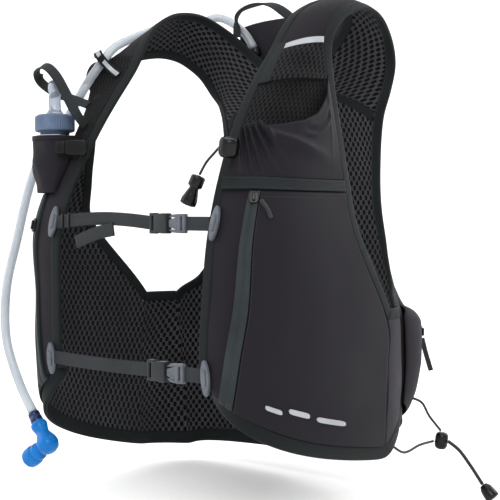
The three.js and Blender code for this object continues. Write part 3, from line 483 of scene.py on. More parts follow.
def meshMaterial(name, rgb, holeShadeRgb, pitch=(7.6, 5.2), hole=(2.0, 2.9)):
    color = linear(*rgb)
    looks = {"Sheen Weight": 0.03, "Sheen Roughness": 0.5, "Specular IOR Level": 0.08}
    material, t, shader = newMaterial(name, looks)
    place = t.clothMap()
    net = t.group(holes, {"Map": place, "Pitch across": pitch[0], "Pitch along": pitch[1],
                          "Hole across": hole[0], "Hole along": hole[1]})
    yarn = t.group(weave, {"Map": place, "Pitch": 0.62, "Stretch": 0.6}).outputs["Height"]
    cloud = cloudy(t, 16.0)
    # Painted shade: the mesh yarn is darker in the grooves of its weave.
    tone = t.mix(t.ramp(yarn, 0.0, 0.8), scaled(color, 0.55), patchy(t, cloud, color, 0.8, 1.2))
    # Painted shade in the holes: they take the near-black hole colour, partly the dark layer behind the mesh and
    # partly shade.
    tone = t.mix(net.outputs["Hole"], tone, linear(*holeShadeRgb))
    height = t.math("ADD", net.outputs["Height"], t.math("MULTIPLY", yarn, 0.14))
    finishMaterial(t, shader, tone, t.ramp(cloud, 0.2, 0.8, 0.72, 0.88), height, 0.9, 0.0014)
    return material


def plasticMaterial(name, rgb, rough=0.38, grain=0.12, coat=0.0):
    color = linear(*rgb)
    looks = {"Specular IOR Level": 0.2, "Coat Weight": coat, "Coat Roughness": 0.15}
    material, t, shader = newMaterial(name, looks)
    cloud = cloudy(t, 60.0, 4.0)
    scuff = t.ramp(cloudy(t, 240.0, 5.0), 0.62, 0.75, 0.0, 0.35)
    tone = t.mix(scuff, patchy(t, cloud, color, 0.85, 1.15, 0.75), scaled(color, 1.7))
    roughness = t.ramp(cloud, 0.2, 0.8, rough - 0.07, rough + 0.1)
    finishMaterial(t, shader, tone, roughness, cloudy(t, 1500.0, 2.0), grain, 0.0002)
    return material


def clearMaterial(name, rgb, rough, through):
    color = linear(*rgb)
    looks = {"Transmission Weight": through, "IOR": 1.42, "Specular IOR Level": 0.5}
    material, t, shader = newMaterial(name, looks)
    cloud = cloudy(t, 30.0)
    roughness = t.ramp(cloud, 0.25, 0.75, rough, rough + 0.12)
    finishMaterial(t, shader, patchy(t, cloud, color, 0.93, 1), roughness, cloudy(t, 400.0), 0.05, 0.0002)
    return material


def reflectiveMaterial(name, rgb):
    material, t, shader = newMaterial(name, {"Metallic": 0.35, "Specular IOR Level": 0.6})
    beads = t.add("ShaderNodeTexVoronoi", {"Vector": t.objectMap(), "Scale": 1600.0}).outputs["Distance"]
    cloud = cloudy(t, 40.0)
    tone = patchy(t, cloud, linear(*rgb), 0.82, 1)
    finishMaterial(t, shader, tone, t.ramp(cloud, 0.2, 0.8, 0.38, 0.55), beads, 0.3, 0.0002)
    return material


def braidMaterial(name, rgb, pitch=1.2):
    color = linear(*rgb)
    material, t, shader = newMaterial(name, {"Sheen Weight": 0.2, "Specular IOR Level": 0.35})
    parts = t.add("ShaderNodeSeparateXYZ", {0: t.clothMap()})
    strands = []
    for operation in ("ADD", "SUBTRACT"):
        slant = t.math(operation, parts.outputs[0], parts.outputs[1])
        strands.append(t.math("SINE", t.math("MULTIPLY", slant, 2 * math.pi / pitch)))
    braid = t.math("MAXIMUM", *strands)
    # Painted shade and highlight: the braid is darker between its strands and lighter on their crests.
    tone = t.mix(t.ramp(braid, -0.2, 0.9), scaled(color, 0.45), scaled(color, 1.3))
    finishMaterial(t, shader, tone, t.ramp(braid, -1.0, 1.0, 0.8, 0.6), braid, 0.6, 0.0004)
    return material


# The hole colours are near-black: partly the dark layer seen through the mesh, partly painted shade in the holes.
colors = {
    "stretch": (31, 29, 34), "side": (51, 49, 54), "binding": (19, 23, 24), "webbing": (40, 43, 45),
    "mesh": (62, 62, 66), "hole": (5, 5, 6), "collar": (30, 30, 33), "zip": (38, 43, 45),
    "plastic": (32, 34, 36), "dark": (10, 10, 11), "silver": (150, 153, 158), "tube": (186, 193, 200),
    "valve": (0, 100, 172), "sleeve": (6, 34, 74), "cap": (82, 97, 120), "stitch": (52, 54, 57),
    "sleeveMesh": (32, 32, 35), "sleeveHoleShade": (4, 4, 5), "lining": (21, 22, 24), "liningHoleShade": (2, 2, 2),
    "ribbon": (23, 28, 30), "rail": (80, 84, 91), "flask": (225, 232, 240), "spout": (176, 184, 198),
}
materials = {
    "stretch": clothMaterial("stretchCloth", colors["stretch"], 0.55, 0.12, 0.02, 0.62, 0.25),
    "side": clothMaterial("sideCloth", colors["side"], 0.6, 0.12, 0.02, 0.66, 0.3),
    "collar": clothMaterial("packCloth", colors["collar"], 0.6, 0.15, 0.02, 0.7, 0.3),
    "mesh": meshMaterial("spacerMesh", colors["mesh"], colors["hole"]),
    "sleeveMesh": meshMaterial("sleeveMesh", colors["sleeveMesh"], colors["sleeveHoleShade"], (4.2, 4.6), (1.1, 2.4)),
    "binding": tapeMaterial("binding", colors["binding"]),
    "webbing": tapeMaterial("webbing", colors["webbing"], 1.5, 0.6, 0.7),
    "ribbon": tapeMaterial("ribbon", colors["ribbon"], 1.2, 0.6, 0.6),
    "zip": tapeMaterial("zipTape", colors["zip"], 0.8, 0.5, 0.25),
    "plastic": plasticMaterial("buckle", colors["plastic"]),
    "dark": plasticMaterial("toggle", colors["dark"], 0.22, 0.08),
    "rail": plasticMaterial("railClip", colors["rail"], 0.3, 0.06),
    "lining": meshMaterial("liningMesh", colors["lining"], colors["liningHoleShade"], (4.2, 4.8), (1.2, 2.5)),
    "silver": reflectiveMaterial("reflective", colors["silver"]),
    "tube": clearMaterial("tube", colors["tube"], 0.1, 0.55),
    "flask": clearMaterial("flask", colors["flask"], 0.25, 0.55),
    "spout": clearMaterial("spout", colors["spout"], 0.12, 0.7),
    "valve": plasticMaterial("valve", colors["valve"], 0.3, 0.05),
    "sleeve": plasticMaterial("sleeve", colors["sleeve"], 0.3, 0.05, 0.2),
    "cap": plasticMaterial("cap", colors["cap"], 0.42, 0.1),
    "cord": braidMaterial("braid", colors["dark"]),
    "stitch": plasticMaterial("thread", colors["stitch"], 0.7, 0.3),
}
print("materials ready")


# Mesh helpers. Grids are in millimetres, meshes in metres.
def smoothed(data):
    data.polygons.foreach_set("use_smooth", np.ones(len(data.polygons), bool))


def declare(piece, node):
    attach(piece, "root")
    if node:
        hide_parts(node)
    return piece


def addPiece(name, verts, faces, node, materialNames, faceMaterials=None, maps=None):
    data = bpy.data.meshes.new(name)
    data.from_pydata((np.asarray(verts) * mm).tolist(), [], faces)
    for key in materialNames:
        data.materials.append(materials[key])
    if faceMaterials is not None:
        data.polygons.foreach_set("material_index", np.asarray(faceMaterials, np.int32))
    uvLayer = data.uv_layers.new(name="cloth")
    if maps is None:
        maps = np.asarray(verts)[:, [0, 2]]
    corners = np.empty(len(data.loops), np.int32)
    data.loops.foreach_get("vertex_index", corners)
    uvLayer.data.foreach_set("uv", np.asarray(maps, np.float32)[corners].ravel())
    smoothed(data)
    data.update()
    outward(data)
    return declare(linked(name, data), node)


def outward(data):
    work = bmesh.new()
    work.from_mesh(data)
    bmesh.ops.recalc_face_normals(work, faces=work.faces[:])
    if work.calc_volume(signed=True) < 0:
        bmesh.ops.reverse_faces(work, faces=work.faces[:])
    work.to_mesh(data)
    work.free()


# Shares from 0 to 1 with close rows at both ends, for a rounded edge.
def edgeShares(count, border=0.012):
    inside = np.linspace(border, 1 - border, count - 3)
    return np.concatenate([[0, border * 0.4], inside, [1 - border * 0.4, 1]])


def shareGrid(rows, cols, rowBorder=0.012, colBorder=0.012):
    return np.meshgrid(edgeShares(rows, rowBorder), edgeShares(cols, colBorder), indexing="ij")


def gridFaces(rows, cols, start=0, flip=False):
    n = np.arange(rows * cols).reshape(rows, cols) + start
    quads = np.stack([n[:-1, :-1], n[:-1, 1:], n[1:, 1:], n[1:, :-1]], -1).reshape(-1, 4)
    return quads[:, ::-1] if flip else quads


def ringFaces(count, around, closed=False):
    faces = []
    for n in range(count if closed else count - 1):
        a, b = n * around, (n + 1) % count * around
        faces += [(a + k, b + k, b + (k + 1) % around, a + (k + 1) % around) for k in range(around)]
    if not closed:
        faces += [tuple(range(around)), tuple(range((count - 1) * around, count * around))[::-1]]
    return faces


# A closed sheet between the heights low and high over the points, thinner at its edges.
def sheetPiece(name, node, point, normal, low, high, names, maps=None, thinEdge=0.3):
    rows, cols = point.shape[:2]
    low, high = np.broadcast_to(low, (rows, cols)), np.broadcast_to(high, (rows, cols))
    edge = np.full((rows, cols), thinEdge)
    edge[1:-1, 1:-1] = 1
    middle = (low + high) / 2
    low, high = lerp(middle, low, edge), lerp(middle, high, edge)
    top = point + normal * high[..., None]
    bottom = point + normal * low[..., None]
    verts = np.concatenate([top.reshape(-1, 3), bottom.reshape(-1, 3)])
    count = rows * cols
    rim = np.concatenate([np.arange(cols), np.arange(1, rows) * cols + cols - 1,
                          (rows - 1) * cols + np.arange(cols - 2, -1, -1), np.arange(rows - 2, 0, -1) * cols])
    after = np.roll(rim, -1)
    sides = np.stack([rim, after, after + count, rim + count], -1)
    upper, under = gridFaces(rows, cols), gridFaces(rows, cols, count, True)
    faces = np.concatenate([upper, under, sides]).tolist()
    kinds = [0] * len(upper) + [len(names) - 1] * len(under) + [0] * len(sides)
    if maps is None:
        across = np.zeros((rows, cols))
        across[:, 1:] = np.cumsum(np.linalg.norm(np.diff(point, axis=1), axis=2), axis=1)
        along = travelled(point[:, cols // 2])
        maps = np.stack([across, np.repeat(along[:, None], cols, 1)], -1)
    maps = np.concatenate([maps.reshape(-1, 2)] * 2)
    return addPiece(name, verts, faces, node, names, kinds, maps)


def span(firstStation, lastStation, inner, outer):
    return lambda up, over: (lerp(firstStation, lastStation, up), lerp(inner, outer, over))


# A cloth piece on the body, over the stations and places across that the window gives.
def layer(name, node, side, rows, cols, window, low, high, names, level=False, border=0.012):
    up, over = shareGrid(rows, cols, border, border)
    station, across = window(up, over)
    normal = bodyNormal(station, across, side)
    if level:
        normal = unit(normal * np.array([1, 1, 0]))
    lowAt = low(up, over) if callable(low) else low
    highAt = high(up, over) if callable(high) else high
    return sheetPiece(name, node, bodyPoint(station, across, side), normal, lowAt, highAt, names)


tapeSection = [(-0.5, -0.1), (-0.47, 0.28), (-0.38, 0.46), (-0.2, 0.5), (0.2, 0.5), (0.38, 0.46),
               (0.47, 0.28), (0.5, -0.1), (0.46, -0.42), (0.3, -0.5), (-0.3, -0.5), (-0.46, -0.42)]
flatSection = [(-0.5, -0.3), (-0.5, 0.3), (-0.46, 0.5), (-0.2, 0.5), (0.2, 0.5), (0.46, 0.5),
               (0.5, 0.3), (0.5, -0.3), (0.46, -0.5), (0.2, -0.5), (-0.2, -0.5), (-0.46, -0.5)]


def bandPiece(name, node, centre, across, out, width, thickness, closed, section, key):
    section = np.array(section)
    verts = centre[:, None] + across[:, None] * (section[:, 0] * width)[None, :, None]
    verts = verts + out[:, None] * (section[:, 1] * thickness)[None, :, None]
    maps = np.stack(np.broadcast_arrays((section[:, 0] * width)[None, :], travelled(centre)[:, None]), -1)
    faces = ringFaces(len(centre), len(section), closed)
    return addPiece(name, verts.reshape(-1, 3), faces, node, [key], None, maps.reshape(-1, 2))


def webbing(name, node, points, flatSide, width, thickness, key, steps=60):
    line = throughPoints(points, steps + 1)
    along = unit(np.gradient(line, axis=0))
    side = flatSide(np.linspace(0, 1, steps + 1)) if callable(flatSide) else np.array(flatSide, float)
    across = unit(np.cross(along, np.broadcast_to(side, line.shape)))
    out = np.cross(across, along)
    return bandPiece(name, node, line, across, out, width, thickness, False, flatSection, key)


def tubePiece(name, node, points, diameter, key, sides, spacing):
    rough = throughPoints(points, 60)
    line = throughPoints(points, max(8, int(lineLength(rough) / spacing)))
    along = unit(np.gradient(line, axis=0))
    guide = np.array([0.0, 0.0, 1.0]) if abs(along[0][2]) < 0.8 else np.array([1.0, 0.0, 0.0])
    frameWay = [unit(np.cross(along[0], guide))]
    for n in range(1, len(line)):
        v = frameWay[-1] - along[n] * np.dot(frameWay[-1], along[n])
        frameWay.append(unit(v))
    a = np.array(frameWay)
    b = np.cross(along, a)
    turn = np.linspace(0, 2 * math.pi, sides, endpoint=False)
    rings = a[:, None] * np.cos(turn)[None, :, None] + b[:, None] * np.sin(turn)[None, :, None]
    verts = (line[:, None] + diameter / 2 * rings).reshape(-1, 3)
    maps = np.stack(np.broadcast_arrays((turn * diameter / 2)[None, :], travelled(line)[:, None]), -1)
    faces = ringFaces(len(line), sides)
    return addPiece(name, verts, faces, node, [key], None, maps.reshape(-1, 2)), line


# A turned piece; the profile gives radius and height, and ribs may run round some of its rows.
def turned(name, node, profile, origin, axis, key, sides=40, ribs=0, ribDepth=0.0, ribRows=()):
    axis = unit(np.array(axis, float))
    guide = np.array([1.0, 0, 0]) if abs(axis[0]) < 0.8 else np.array([0, 1.0, 0])
    a = unit(np.cross(axis, guide))
    b = np.cross(axis, a)
    turn = np.linspace(0, 2 * math.pi, sides, endpoint=False)
    ring = a * np.cos(turn)[:, None] + b * np.sin(turn)[:, None]
    verts = []
    for row, (radius, height) in enumerate(profile):
        if row in ribRows:
            radius = (radius - ribDepth * (0.5 + 0.5 * np.cos(turn * ribs)))[:, None]
        verts.append(np.array(origin, float) + axis * height + radius * ring)
    return addPiece(name, np.concatenate(verts), ringFaces(len(profile), sides), node, [key])


# One piece of bevelled plates, each given as outline, thickness, centre, its x way and its outward way.
def roundedPlates(name, node, plates, key, bevel, sharpAngle=0.6):
    work = bmesh.new()
    for outline, thickness, centre, xWay, outWay in plates:
        out = unit(np.array(outWay, float))
        x = np.array(xWay, float)
        x = unit(x - out * np.dot(x, out))
        y = np.cross(out, x)
        corners = [np.array(centre, float) + x * u + y * v - out * thickness / 2 for u, v in outline]
        verts = [work.verts.new(Vector(c * mm)) for c in corners]
        face = work.faces.new(verts)
        made = bmesh.ops.extrude_face_region(work, geom=[face])
        moved = [v for v in made["geom"] if isinstance(v, bmesh.types.BMVert)]
        bmesh.ops.translate(work, verts=moved, vec=Vector(out * thickness * mm))
    bmesh.ops.recalc_face_normals(work, faces=work.faces[:])
    sharp = [e for e in work.edges if len(e.link_faces) == 2 and e.calc_face_angle(0) > sharpAngle]
    bmesh.ops.bevel(work, geom=sharp, offset=bevel * mm, segments=3, profile=0.6, affect="EDGES",
                    clamp_overlap=True)
    data = bpy.data.meshes.new(name)
    work.to_mesh(data)
    work.free()
    data.materials.append(materials[key])
    smoothed(data)
    data.uv_layers.new(name="cloth")
    return declare(linked(name, data), node)


def roundedBox(length, width, corner, steps=5):
    out = []
    for k, (sx, sy) in enumerate(((1, 1), (-1, 1), (-1, -1), (1, -1))):
        for n in range(steps + 1):
            angle = math.pi / 2 * (k + n / steps)
            out.append((sx * (length / 2 - corner) + corner * math.cos(angle),
                        sy * (width / 2 - corner) + corner * math.sin(angle)))
    return out


# The cords: drinking tube, drawcord and bungee.
cordValues = {"tube": 9.5, "draw": 2.4, "bungee": 2.6, "tail": 3.6, "overShoulder": 8.5}
shoulderPlaces = ((11.9, 0.3), (11.2, 0.42), (10.5, 0.52), (9.8, 0.62), (9.1, 0.7), (8.5, 0.74), (7.9, 0.78),
                  (7.3, 0.86))
tubeRoute = [(-61, 79, -23), (-69, 75, -8), (-82, 69, 5), (-95, 56, 12)]
tubeRoute += [tuple(onBody(-1, *place, cordValues["overShoulder"])) for place in shoulderPlaces]
tubeRoute += [(-168, -103, -106), (-189, -117, -138), (-198, -130, -177), (-203, -145, -240),
              (-208, -155, -292), (-204, -158, -345), (-178, -161, -389), (-150, -166, -415)]
tube, tubeLine = tubePiece("drinkingTube", "drinking_tube", tubeRoute, cordValues["tube"], "tube",
                           20, 3.0)

# Radius and height of the valve's rings; the sleeve, the body and the mouthpiece follow each other.
valveValues = {
    "sleeve": [(0.1, 0), (5.2, 0), (6, 0.6), (6.1, 4), (5.7, 4.6), (5.7, 5.6), (6.3, 6.2), (6.5, 12.4), (5.9, 13),
               (0.1, 13)],
    "body": [(0.1, 0), (7.4, 0), (8, 0.7), (8.5, 3), (8.2, 5), (7.3, 8), (6.6, 12), (7, 14), (8.4, 17.5),
             (10.2, 21.5), (11, 25), (10.9, 28), (9.6, 32), (6.5, 34.6), (0.1, 35.4)],
    "mouthpiece": [(0.1, -3), (7.2, -3), (7.2, 1), (8.8, 2), (9.2, 3.4), (9.2, 6), (8.7, 6.5), (8.7, 7.3),
                   (9.6, 7.9), (10.1, 9.4), (10.3, 12), (10.2, 17), (9.6, 19.4), (8.2, 21), (5, 21.8), (0.1, 22)],
    "sleeveStart": 0.8, "bodyStart": 13.2, "elbow": 26, "mouthStart": 11.3, "mouthWay": (-0.8, -0.1, -0.6),
}
valveAxis = unit(np.array(tubeRoute[-1], float) - np.array(tubeRoute[-2], float))
sleeveFrom = np.array(tubeRoute[-1], float) + valveAxis * valveValues["sleeveStart"]
bodyFrom = sleeveFrom + valveAxis * valveValues["bodyStart"]
mouthAxis = unit(np.array(valveValues["mouthWay"]))
mouthFrom = bodyFrom + valveAxis * valveValues["elbow"] + mouthAxis * valveValues["mouthStart"]
valveSleeve = turned("valveSleeve", "valve_sleeve", valveValues["sleeve"], sleeveFrom, valveAxis, "sleeve",
                     36)
valveBody = turned("valveBody", "valve_body", valveValues["body"], bodyFrom, valveAxis, "valve")
mouthpiece = turned("mouthpiece", "mouthpiece", valveValues["mouthpiece"], mouthFrom, mouthAxis, "valve")

lockAt = np.array([110.5, -161.4, -162])
lockAxis = unit(np.array([0.2, -0.1, 1]))
lockRings = [(0.1, 0), (6.2, 0), (7.6, 0.8), (8.9, 3.2), (9, 5), (9, 12.6), (8.8, 14.6), (7.4, 17), (5.4, 17.6),
             (5.2, 16.6), (3.8, 16.6), (3.5, 17.8), (0.1, 18)]
cordLock = turned("cordLock", "cord_lock", lockRings, lockAt, lockAxis, "dark")
drawRoute = [(101.8, -163, -153), (97, -164.5, -158), (89, -166, -166), (82.1, -167.3, -176.7)]
draw, drawLine = tubePiece("drawcord", "drawcord", drawRoute, cordValues["draw"], "cord", 10, 0.6)
endAxis = unit(np.array([0.42, 0.14, 1]))
endRings = [(0.1, 0), (6.6, 0), (7.4, 0.7), (7.3, 5), (5.6, 11), (4.3, 15), (4.4, 16.4), (6.2, 17.2),
            (6.6, 18.2), (6.6, 25.6), (6, 27), (0.1, 28)]
drawEnd = turned("drawcordEnd", "cord_end", endRings, (71, -171, -203), endAxis, "dark", 10)
print("cords made")


# Panels of the body.
def wave(point, size, seed):
    p = point / size
    a = np.sin(p[..., 0] * 1.7 + seed + 1.3 * np.sin(p[..., 2] * 1.1 + seed * 2))
    b = np.sin(p[..., 2] * 1.5 - seed + 1.1 * np.sin(p[..., 1] * 1.3 + seed))
    c = np.sin((p[..., 0] + p[..., 1] + p[..., 2]) * 2.3 + seed * 3)
    return (a + b + 0.6 * c) / 2.6


panelValues = {"columns": 46, "waveSize": 22.0, "waveDepth": 0.35, "sideWaveSize": 14, "sideWaveDepth": 0.5,
               "sideEdge": 0.012, "bandInside": 1.1, "bandOver": 0.1, "fill": 0.9}


def panel(name, node, side, firstStation, lastStation, names, rows, seed):
    up, over = shareGrid(rows, panelValues["columns"], 0.006)
    station = lerp(firstStation, lastStation, up)
    point = bodyPoint(station, over, side)
    lift = wave(point, panelValues["waveSize"], seed) * panelValues["waveDepth"]
    normal = bodyNormal(station, over, side)
    piece = sheetPiece(name, node, point, normal, lift - half, lift + half, names)


def sidePanel(name, node, side):
    high, around = shareGrid(60, 46, 0.012, 0.02)
    around = lerp(panelValues["sideEdge"], 1 - panelValues["sideEdge"], around)
    point = sidePoint(high, around, side)
    lift = wave(point, panelValues["sideWaveSize"], 2) * panelValues["sideWaveDepth"]
    piece = sheetPiece(name, node, point, sideNormal(high, around, side), lift - half, lift + half,
                       ["side", "mesh"])


for side, name in bothSides:
    panel(f"{name}FrontPanel", f"{name}_front_panel", side, 0, shoulderSeam, ["stretch", "mesh"],
          150, side)
    sidePanel(f"{name}SidePanel", f"{name}_side_panel", side)

up, over = np.meshgrid(edgeShares(170, 0.006), np.linspace(-1, 1, 97), indexing="ij")
backPoint, backWay = acrossSpine(lerp(neckDip, backHem, up), abs(over), over)
run = np.cumsum(np.linalg.norm(np.diff(backPoint, axis=1, prepend=backPoint[:, :1]), axis=2), axis=1)
run = run - run[:, run.shape[1] // 2, None]
maps = np.stack([run, backPoint[..., 2]], -1)
backPanel = sheetPiece("backPanel", "back_panel", backPoint, backWay, -half, half, ["collar", "mesh"],
                       maps)
for side, name in bothSides:
    panel(f"{name}Yoke", "back_panel", side, shoulderSeam, neckDip, ["collar", "mesh"], 80, 3)
for side, name in bothSides:
    layer(f"{name}YokeBand", None, side, 10, 50, span(neckDip - 0.16, neckDip + 0.12, 0.06, 0.96),
          -half - panelValues["bandInside"], -half + panelValues["bandOver"], ["binding"],
          border=0.05)
print("panels made")


# Bindings folded over the cut edges.
def edgeRun(side, across, start, end, spacing=0.05):
    station = np.linspace(start, end, max(2, int(abs(end - start) / spacing)) + 1)
    return bodyPoint(station, across, side), bodyNormal(station, across, side)


def joined(runs):
    points = np.concatenate([runs[0][0]] + [r[0][1:] for r in runs[1:]])
    normals = np.concatenate([runs[0][1]] + [r[1][1:] for r in runs[1:]])
    return points, normals


def softened(values, passes, closed):
    for _ in range(passes):
        if closed:
            values = (np.roll(values, 1, 0) + 2 * values + np.roll(values, -1, 0)) / 4
        else:
            values[1:-1] = (values[:-2] + 2 * values[1:-1] + values[2:]) / 4
    return values


bindingValues = {"thickness": 4.6, "edgeGap": 0.8, "leftGap": 1.4, "rightGap": 2.45, "hemStart": 0.13,
                 "hemOverlap": 2.5, "passes": 6}


def edgeBinding(name, node, points, normals, turn, width, closed, gap, overlap=3.0):
    if closed:
        points, normals = points[:-1], normals[:-1]
    passes, thickness = bindingValues["passes"], bindingValues["thickness"]
    points, normals = softened(points.copy(), passes, closed), softened(normals.copy(), passes, closed)
    if closed:
        along = unit(np.roll(points, -1, 0) - np.roll(points, 1, 0))
    else:
        along = unit(np.gradient(points, axis=0))
    across = unit(np.cross(along, normals)) * turn
    out = unit(np.cross(across, along))
    whole = width + overlap
    centre = points + across * (gap + width - whole / 2)
    bandPiece(name, node, centre, across, out, whole, thickness, closed, tapeSection, "binding")
    seams.append((centre - across * whole * 0.3 + out * thickness * 0.49, closed))


seams = []
edgeBinding("neckBinding", "neck_binding", *joined([edgeRun(1, 0, 0, neckDip), edgeRun(-1, 0, neckDip, 0)]),
            -1, bodyValues["bindingWidth"], False, bindingValues["edgeGap"])
for side, name in bothSides:
    around = np.linspace(0, 1, 40)
    sideRun = (sidePoint(np.ones(40), around, side), sideNormal(np.ones(40), around, side))
    runs = [edgeRun(side, 1, shoulderSeam, sideTop), sideRun, edgeRun(side, 1, armholeFoot, shoulderSeam)]
    edgeBinding(f"{name}ArmholeBinding", f"{name}_armhole_binding", *joined(runs), -side,
                bodyValues["bindingWidth"], True, bindingValues[f"{name}Gap"])


def hemRun(side):
    across = np.linspace(0, 1, 50)
    around = np.linspace(0, 1, 40)
    start = np.linspace(bindingValues["hemStart"], 0, 4)
    foot = (sidePoint(np.zeros(40), around, side), sideNormal(np.zeros(40), around, side))
    runs = [(bodyPoint(start, 0, side), bodyNormal(start, 0, side)),
            (bodyPoint(0, across, side), bodyNormal(0, across, side)), foot,
            (bodyPoint(backHem, across[::-1], side), bodyNormal(backHem, across[::-1], side))]
    return joined(runs)


leftHem, rightHem = hemRun(1), hemRun(-1)
hemPoints = np.concatenate([leftHem[0], rightHem[0][::-1][1:]])
hemNormals = np.concatenate([leftHem[1], rightHem[1][::-1][1:]])
edgeBinding("hemBinding", "hem_binding", hemPoints, hemNormals, 1, bodyValues["hemWidth"], False,
            bindingValues["edgeGap"], bindingValues["hemOverlap"])
print("bindings made")

# Front pockets, zips and trim.
pocketValues = {"top": 4.95, "slope": -0.24, "foot": 0.06, "zipStart": 0.12, "zipLean": 0.04, "zipHalf": 0.045,
                "inset": 0.985, "bandRise": 0.22, "bandLift": 1.2, "zipLift": 0.9, "puff": 11, "foldDepth": 9.5,
                "folds": [(4.5, 1.3), (8.6, 1.2), (12.6, 1.5), (17.6, 1.7), (23.5, 2.2)]}
pv = pocketValues


def pocketEdge(across):
    return pv["top"] + pv["slope"] * across


def zipAcross(station):
    return pv["zipStart"] + pv["zipLean"] * station


def lowerWindow(up, over):
    guess = lerp(pv["foot"], pv["top"], up)
    across = lerp(zipAcross(guess) + pv["zipHalf"] + 0.004, pv["inset"], over)
    return lerp(pv["foot"], pocketEdge(across) - seamShare, up), across


def zipWindow(up, over):
    guess = lerp(pv["foot"], pv["top"], up)
    across = zipAcross(guess) + lerp(-pv["zipHalf"], pv["zipHalf"], over)
    return lerp(pv["foot"], pocketEdge(across) - seamShare, up), across


def lowerLift(up, over):
    body = np.sin(math.pi * np.clip(over, 0, 1)) * np.sin(math.pi * np.clip(up, 0, 1))
    ripple = np.sin(over * 9 + up * 4) * 0.4 + np.sin(over * 21 - up * 7) * 0.2
    return coverTop + 0.3 + body * 1.2 + ripple * body


def bandWindow(up, over):
    across = lerp(0.01, pv["inset"], over)
    return pocketEdge(across) + seamShare + pv["bandRise"] * up, across


def zipLift(up, over):
    return coverTop + pv["zipLift"] - 1.1 * np.exp(-((over - 0.5) / 0.09) ** 2)


for side, name in bothSides:
    lowerPocket = layer(f"{name}LowerPocket", f"{name}_lower_pocket", side, 90, 60, lowerWindow, half,
                        lowerLift, ["stretch"])
    layer(f"{name}ZipTape", f"{name}_zip_tape", side, 110, 16, zipWindow, half, zipLift, ["zip"],
          border=0.02)
layer("pocketBand", "pocket_band", 1, 12, 70, bandWindow, half, coverTop + pv["bandLift"], ["ribbon"])

stretchFoot = pv["top"] + pv["bandRise"] + 2 * seamShare
stretchMouth = [[0, 5.98], [0.06, 6.01], [0.15, 6.02], [0.3, 6.0], [0.45, 6.02], [0.6, 6.1], [0.75, 6.28],
                [0.88, 6.6], [1, 7.1]]


def stretchWindow(up, over):
    across = lerp(0.02, pv["inset"], over)
    return lerp(stretchFoot + pv["slope"] * across, readTable(stretchMouth, over), up), across


# Lift in millimetres: gathers below the mouth, one long sweep, small ripples and a pleat at the armhole.
def stretchLift(up, over):
    body = np.sin(math.pi * np.clip(over, 0, 1)) ** 0.7 * np.sin(0.5 * math.pi * np.clip(up, 0, 1)) ** 1.2
    x = over * 100
    y = (1 - up) * 62
    start = (x - 0.12 * y) / (1 + y / 46)
    folds = sum(np.exp(-((start - at) / wide) ** 2) for at, wide in pv["folds"])
    gather = pv["foldDepth"] * (folds - 0.45) * (0.25 + 0.75 * np.exp(-((y - 8) / 26) ** 2))
    gather = gather * smooth(0.0, 0.06, over) * smooth(0.62, 0.3, over) * smooth(0.0, 0.12, up)
    sweep = (y - 6 - 0.62 * (x - 24)) / 1.18
    sweep = 5.5 * np.exp(-(sweep / 5) ** 2) * smooth(0.2, 0.35, over) * smooth(1.0, 0.8, over)
    ring = np.hypot(x - 78, (y + 2) * 1.2)
    ripples = 1.3 * np.sin(ring / 1.9) * np.exp(-((ring - 24) / 9) ** 2)
    ripples = ripples * smooth(0.6, 0.72, over) * smooth(0.97, 0.9, over)
    pleat = 1.6 * np.exp(-((x - 91 - 0.04 * y) / 1.6) ** 2)
    return pv["puff"] * body + gather + (sweep + ripples + pleat) * np.minimum(1, body * 1.6)


def dashWindow(low, high, station):
    def place(up, over):
        rounding = 0.5 * (1 - np.sqrt(np.clip(1 - (2 * abs(over - 0.5)) ** 8, 0, 1)))
        slope = 0.3 * (over - 0.5) * (high - low)
        return station + 0.12 * lerp(rounding, 1 - rounding, up) - 0.06 - slope, lerp(low, high, over)
    return place


stretchPocket = layer("stretchPocket", "stretch_pocket", 1, 110, 150, stretchWindow,
                      lambda up, over: layerLift - 0.6 + stretchLift(up, over),
                      lambda up, over: coverTop - 0.2 + stretchLift(up, over),
                      ["stretch"], border=0.008)

# First and last station, inner and outer place of the trim; dashes have inner, outer and station.
trimValues = {
    "leftLining": (5.2, 6.97, 0.03, 0.97), "rightLining": (5.6, 8.3, 0.03, 0.97),
    "webbing": (7.0, 8.12, 0.02, 0.174), "sleeve": (7.0, 7.84, 0.183, 0.95), "strip": (7.84, 8.0, 0.19, 0.97),
    "dashes": ((0.385, 0.475, 1.13), (0.51, 0.615, 1.18), (0.65, 0.79, 1.1)), "stripLift": 0.6, "dashLift": 2.1,
}
tv = trimValues
for side, name in bothSides:
    layer(f"{name}Lining", None, side, 60, 40, span(*tv[f"{name}Lining"]), half - 0.2,
          lambda up, over: half + 0.5 + 0.3 * np.sin(up * 17 + over * 6), ["lining"])
layer("shoulderWebbing", "shoulder_webbing", 1, 60, 16, span(*tv["webbing"]), half, coverTop, ["ribbon"],
      border=0.03)
layer("meshSleeve", "mesh_sleeve", 1, 40, 50, span(*tv["sleeve"]), half,
      lambda up, over: coverTop + 1 + 0.7 * np.sin(up * 9 + over * 3) * np.sin(math.pi * over),
      ["sleeveMesh"])
layer("reflectiveStrip", "reflective_strip", 1, 12, 50, span(*tv["strip"]), half, coverTop + tv["stripLift"],
      ["silver"], border=0.04)
for number, dash in enumerate(tv["dashes"]):
    layer(f"reflectiveDash{number + 1}", None, 1, 10, 40, dashWindow(*dash), coverTop - 0.5,
          coverTop + tv["dashLift"], ["silver"], border=0.03)
print("front pockets made")

# The flask pocket, the soft flask and the pull tab on the wearer's right.
flaskValues = {"middle": 0.52, "halfSpan": 0.40, "top": 6.12, "foot": 5.2, "share": 0.68, "aboveMouth": 0.035,
               "sink": 1.4, "wallGap": 1.8, "roundness": 0.99,
               "hem": (6.03, 6.125), "capAcross": 0.46, "capOut": 22, "capUp": 5, "spoutStart": 17.4}
fv = flaskValues
flaskThickness = [[4.75, 2], [5.2, 17], [5.6, 29], [6.12, 40], [6.4, 43]]
flaskStandoff = [[5.2, -1], [6.12, 8]]


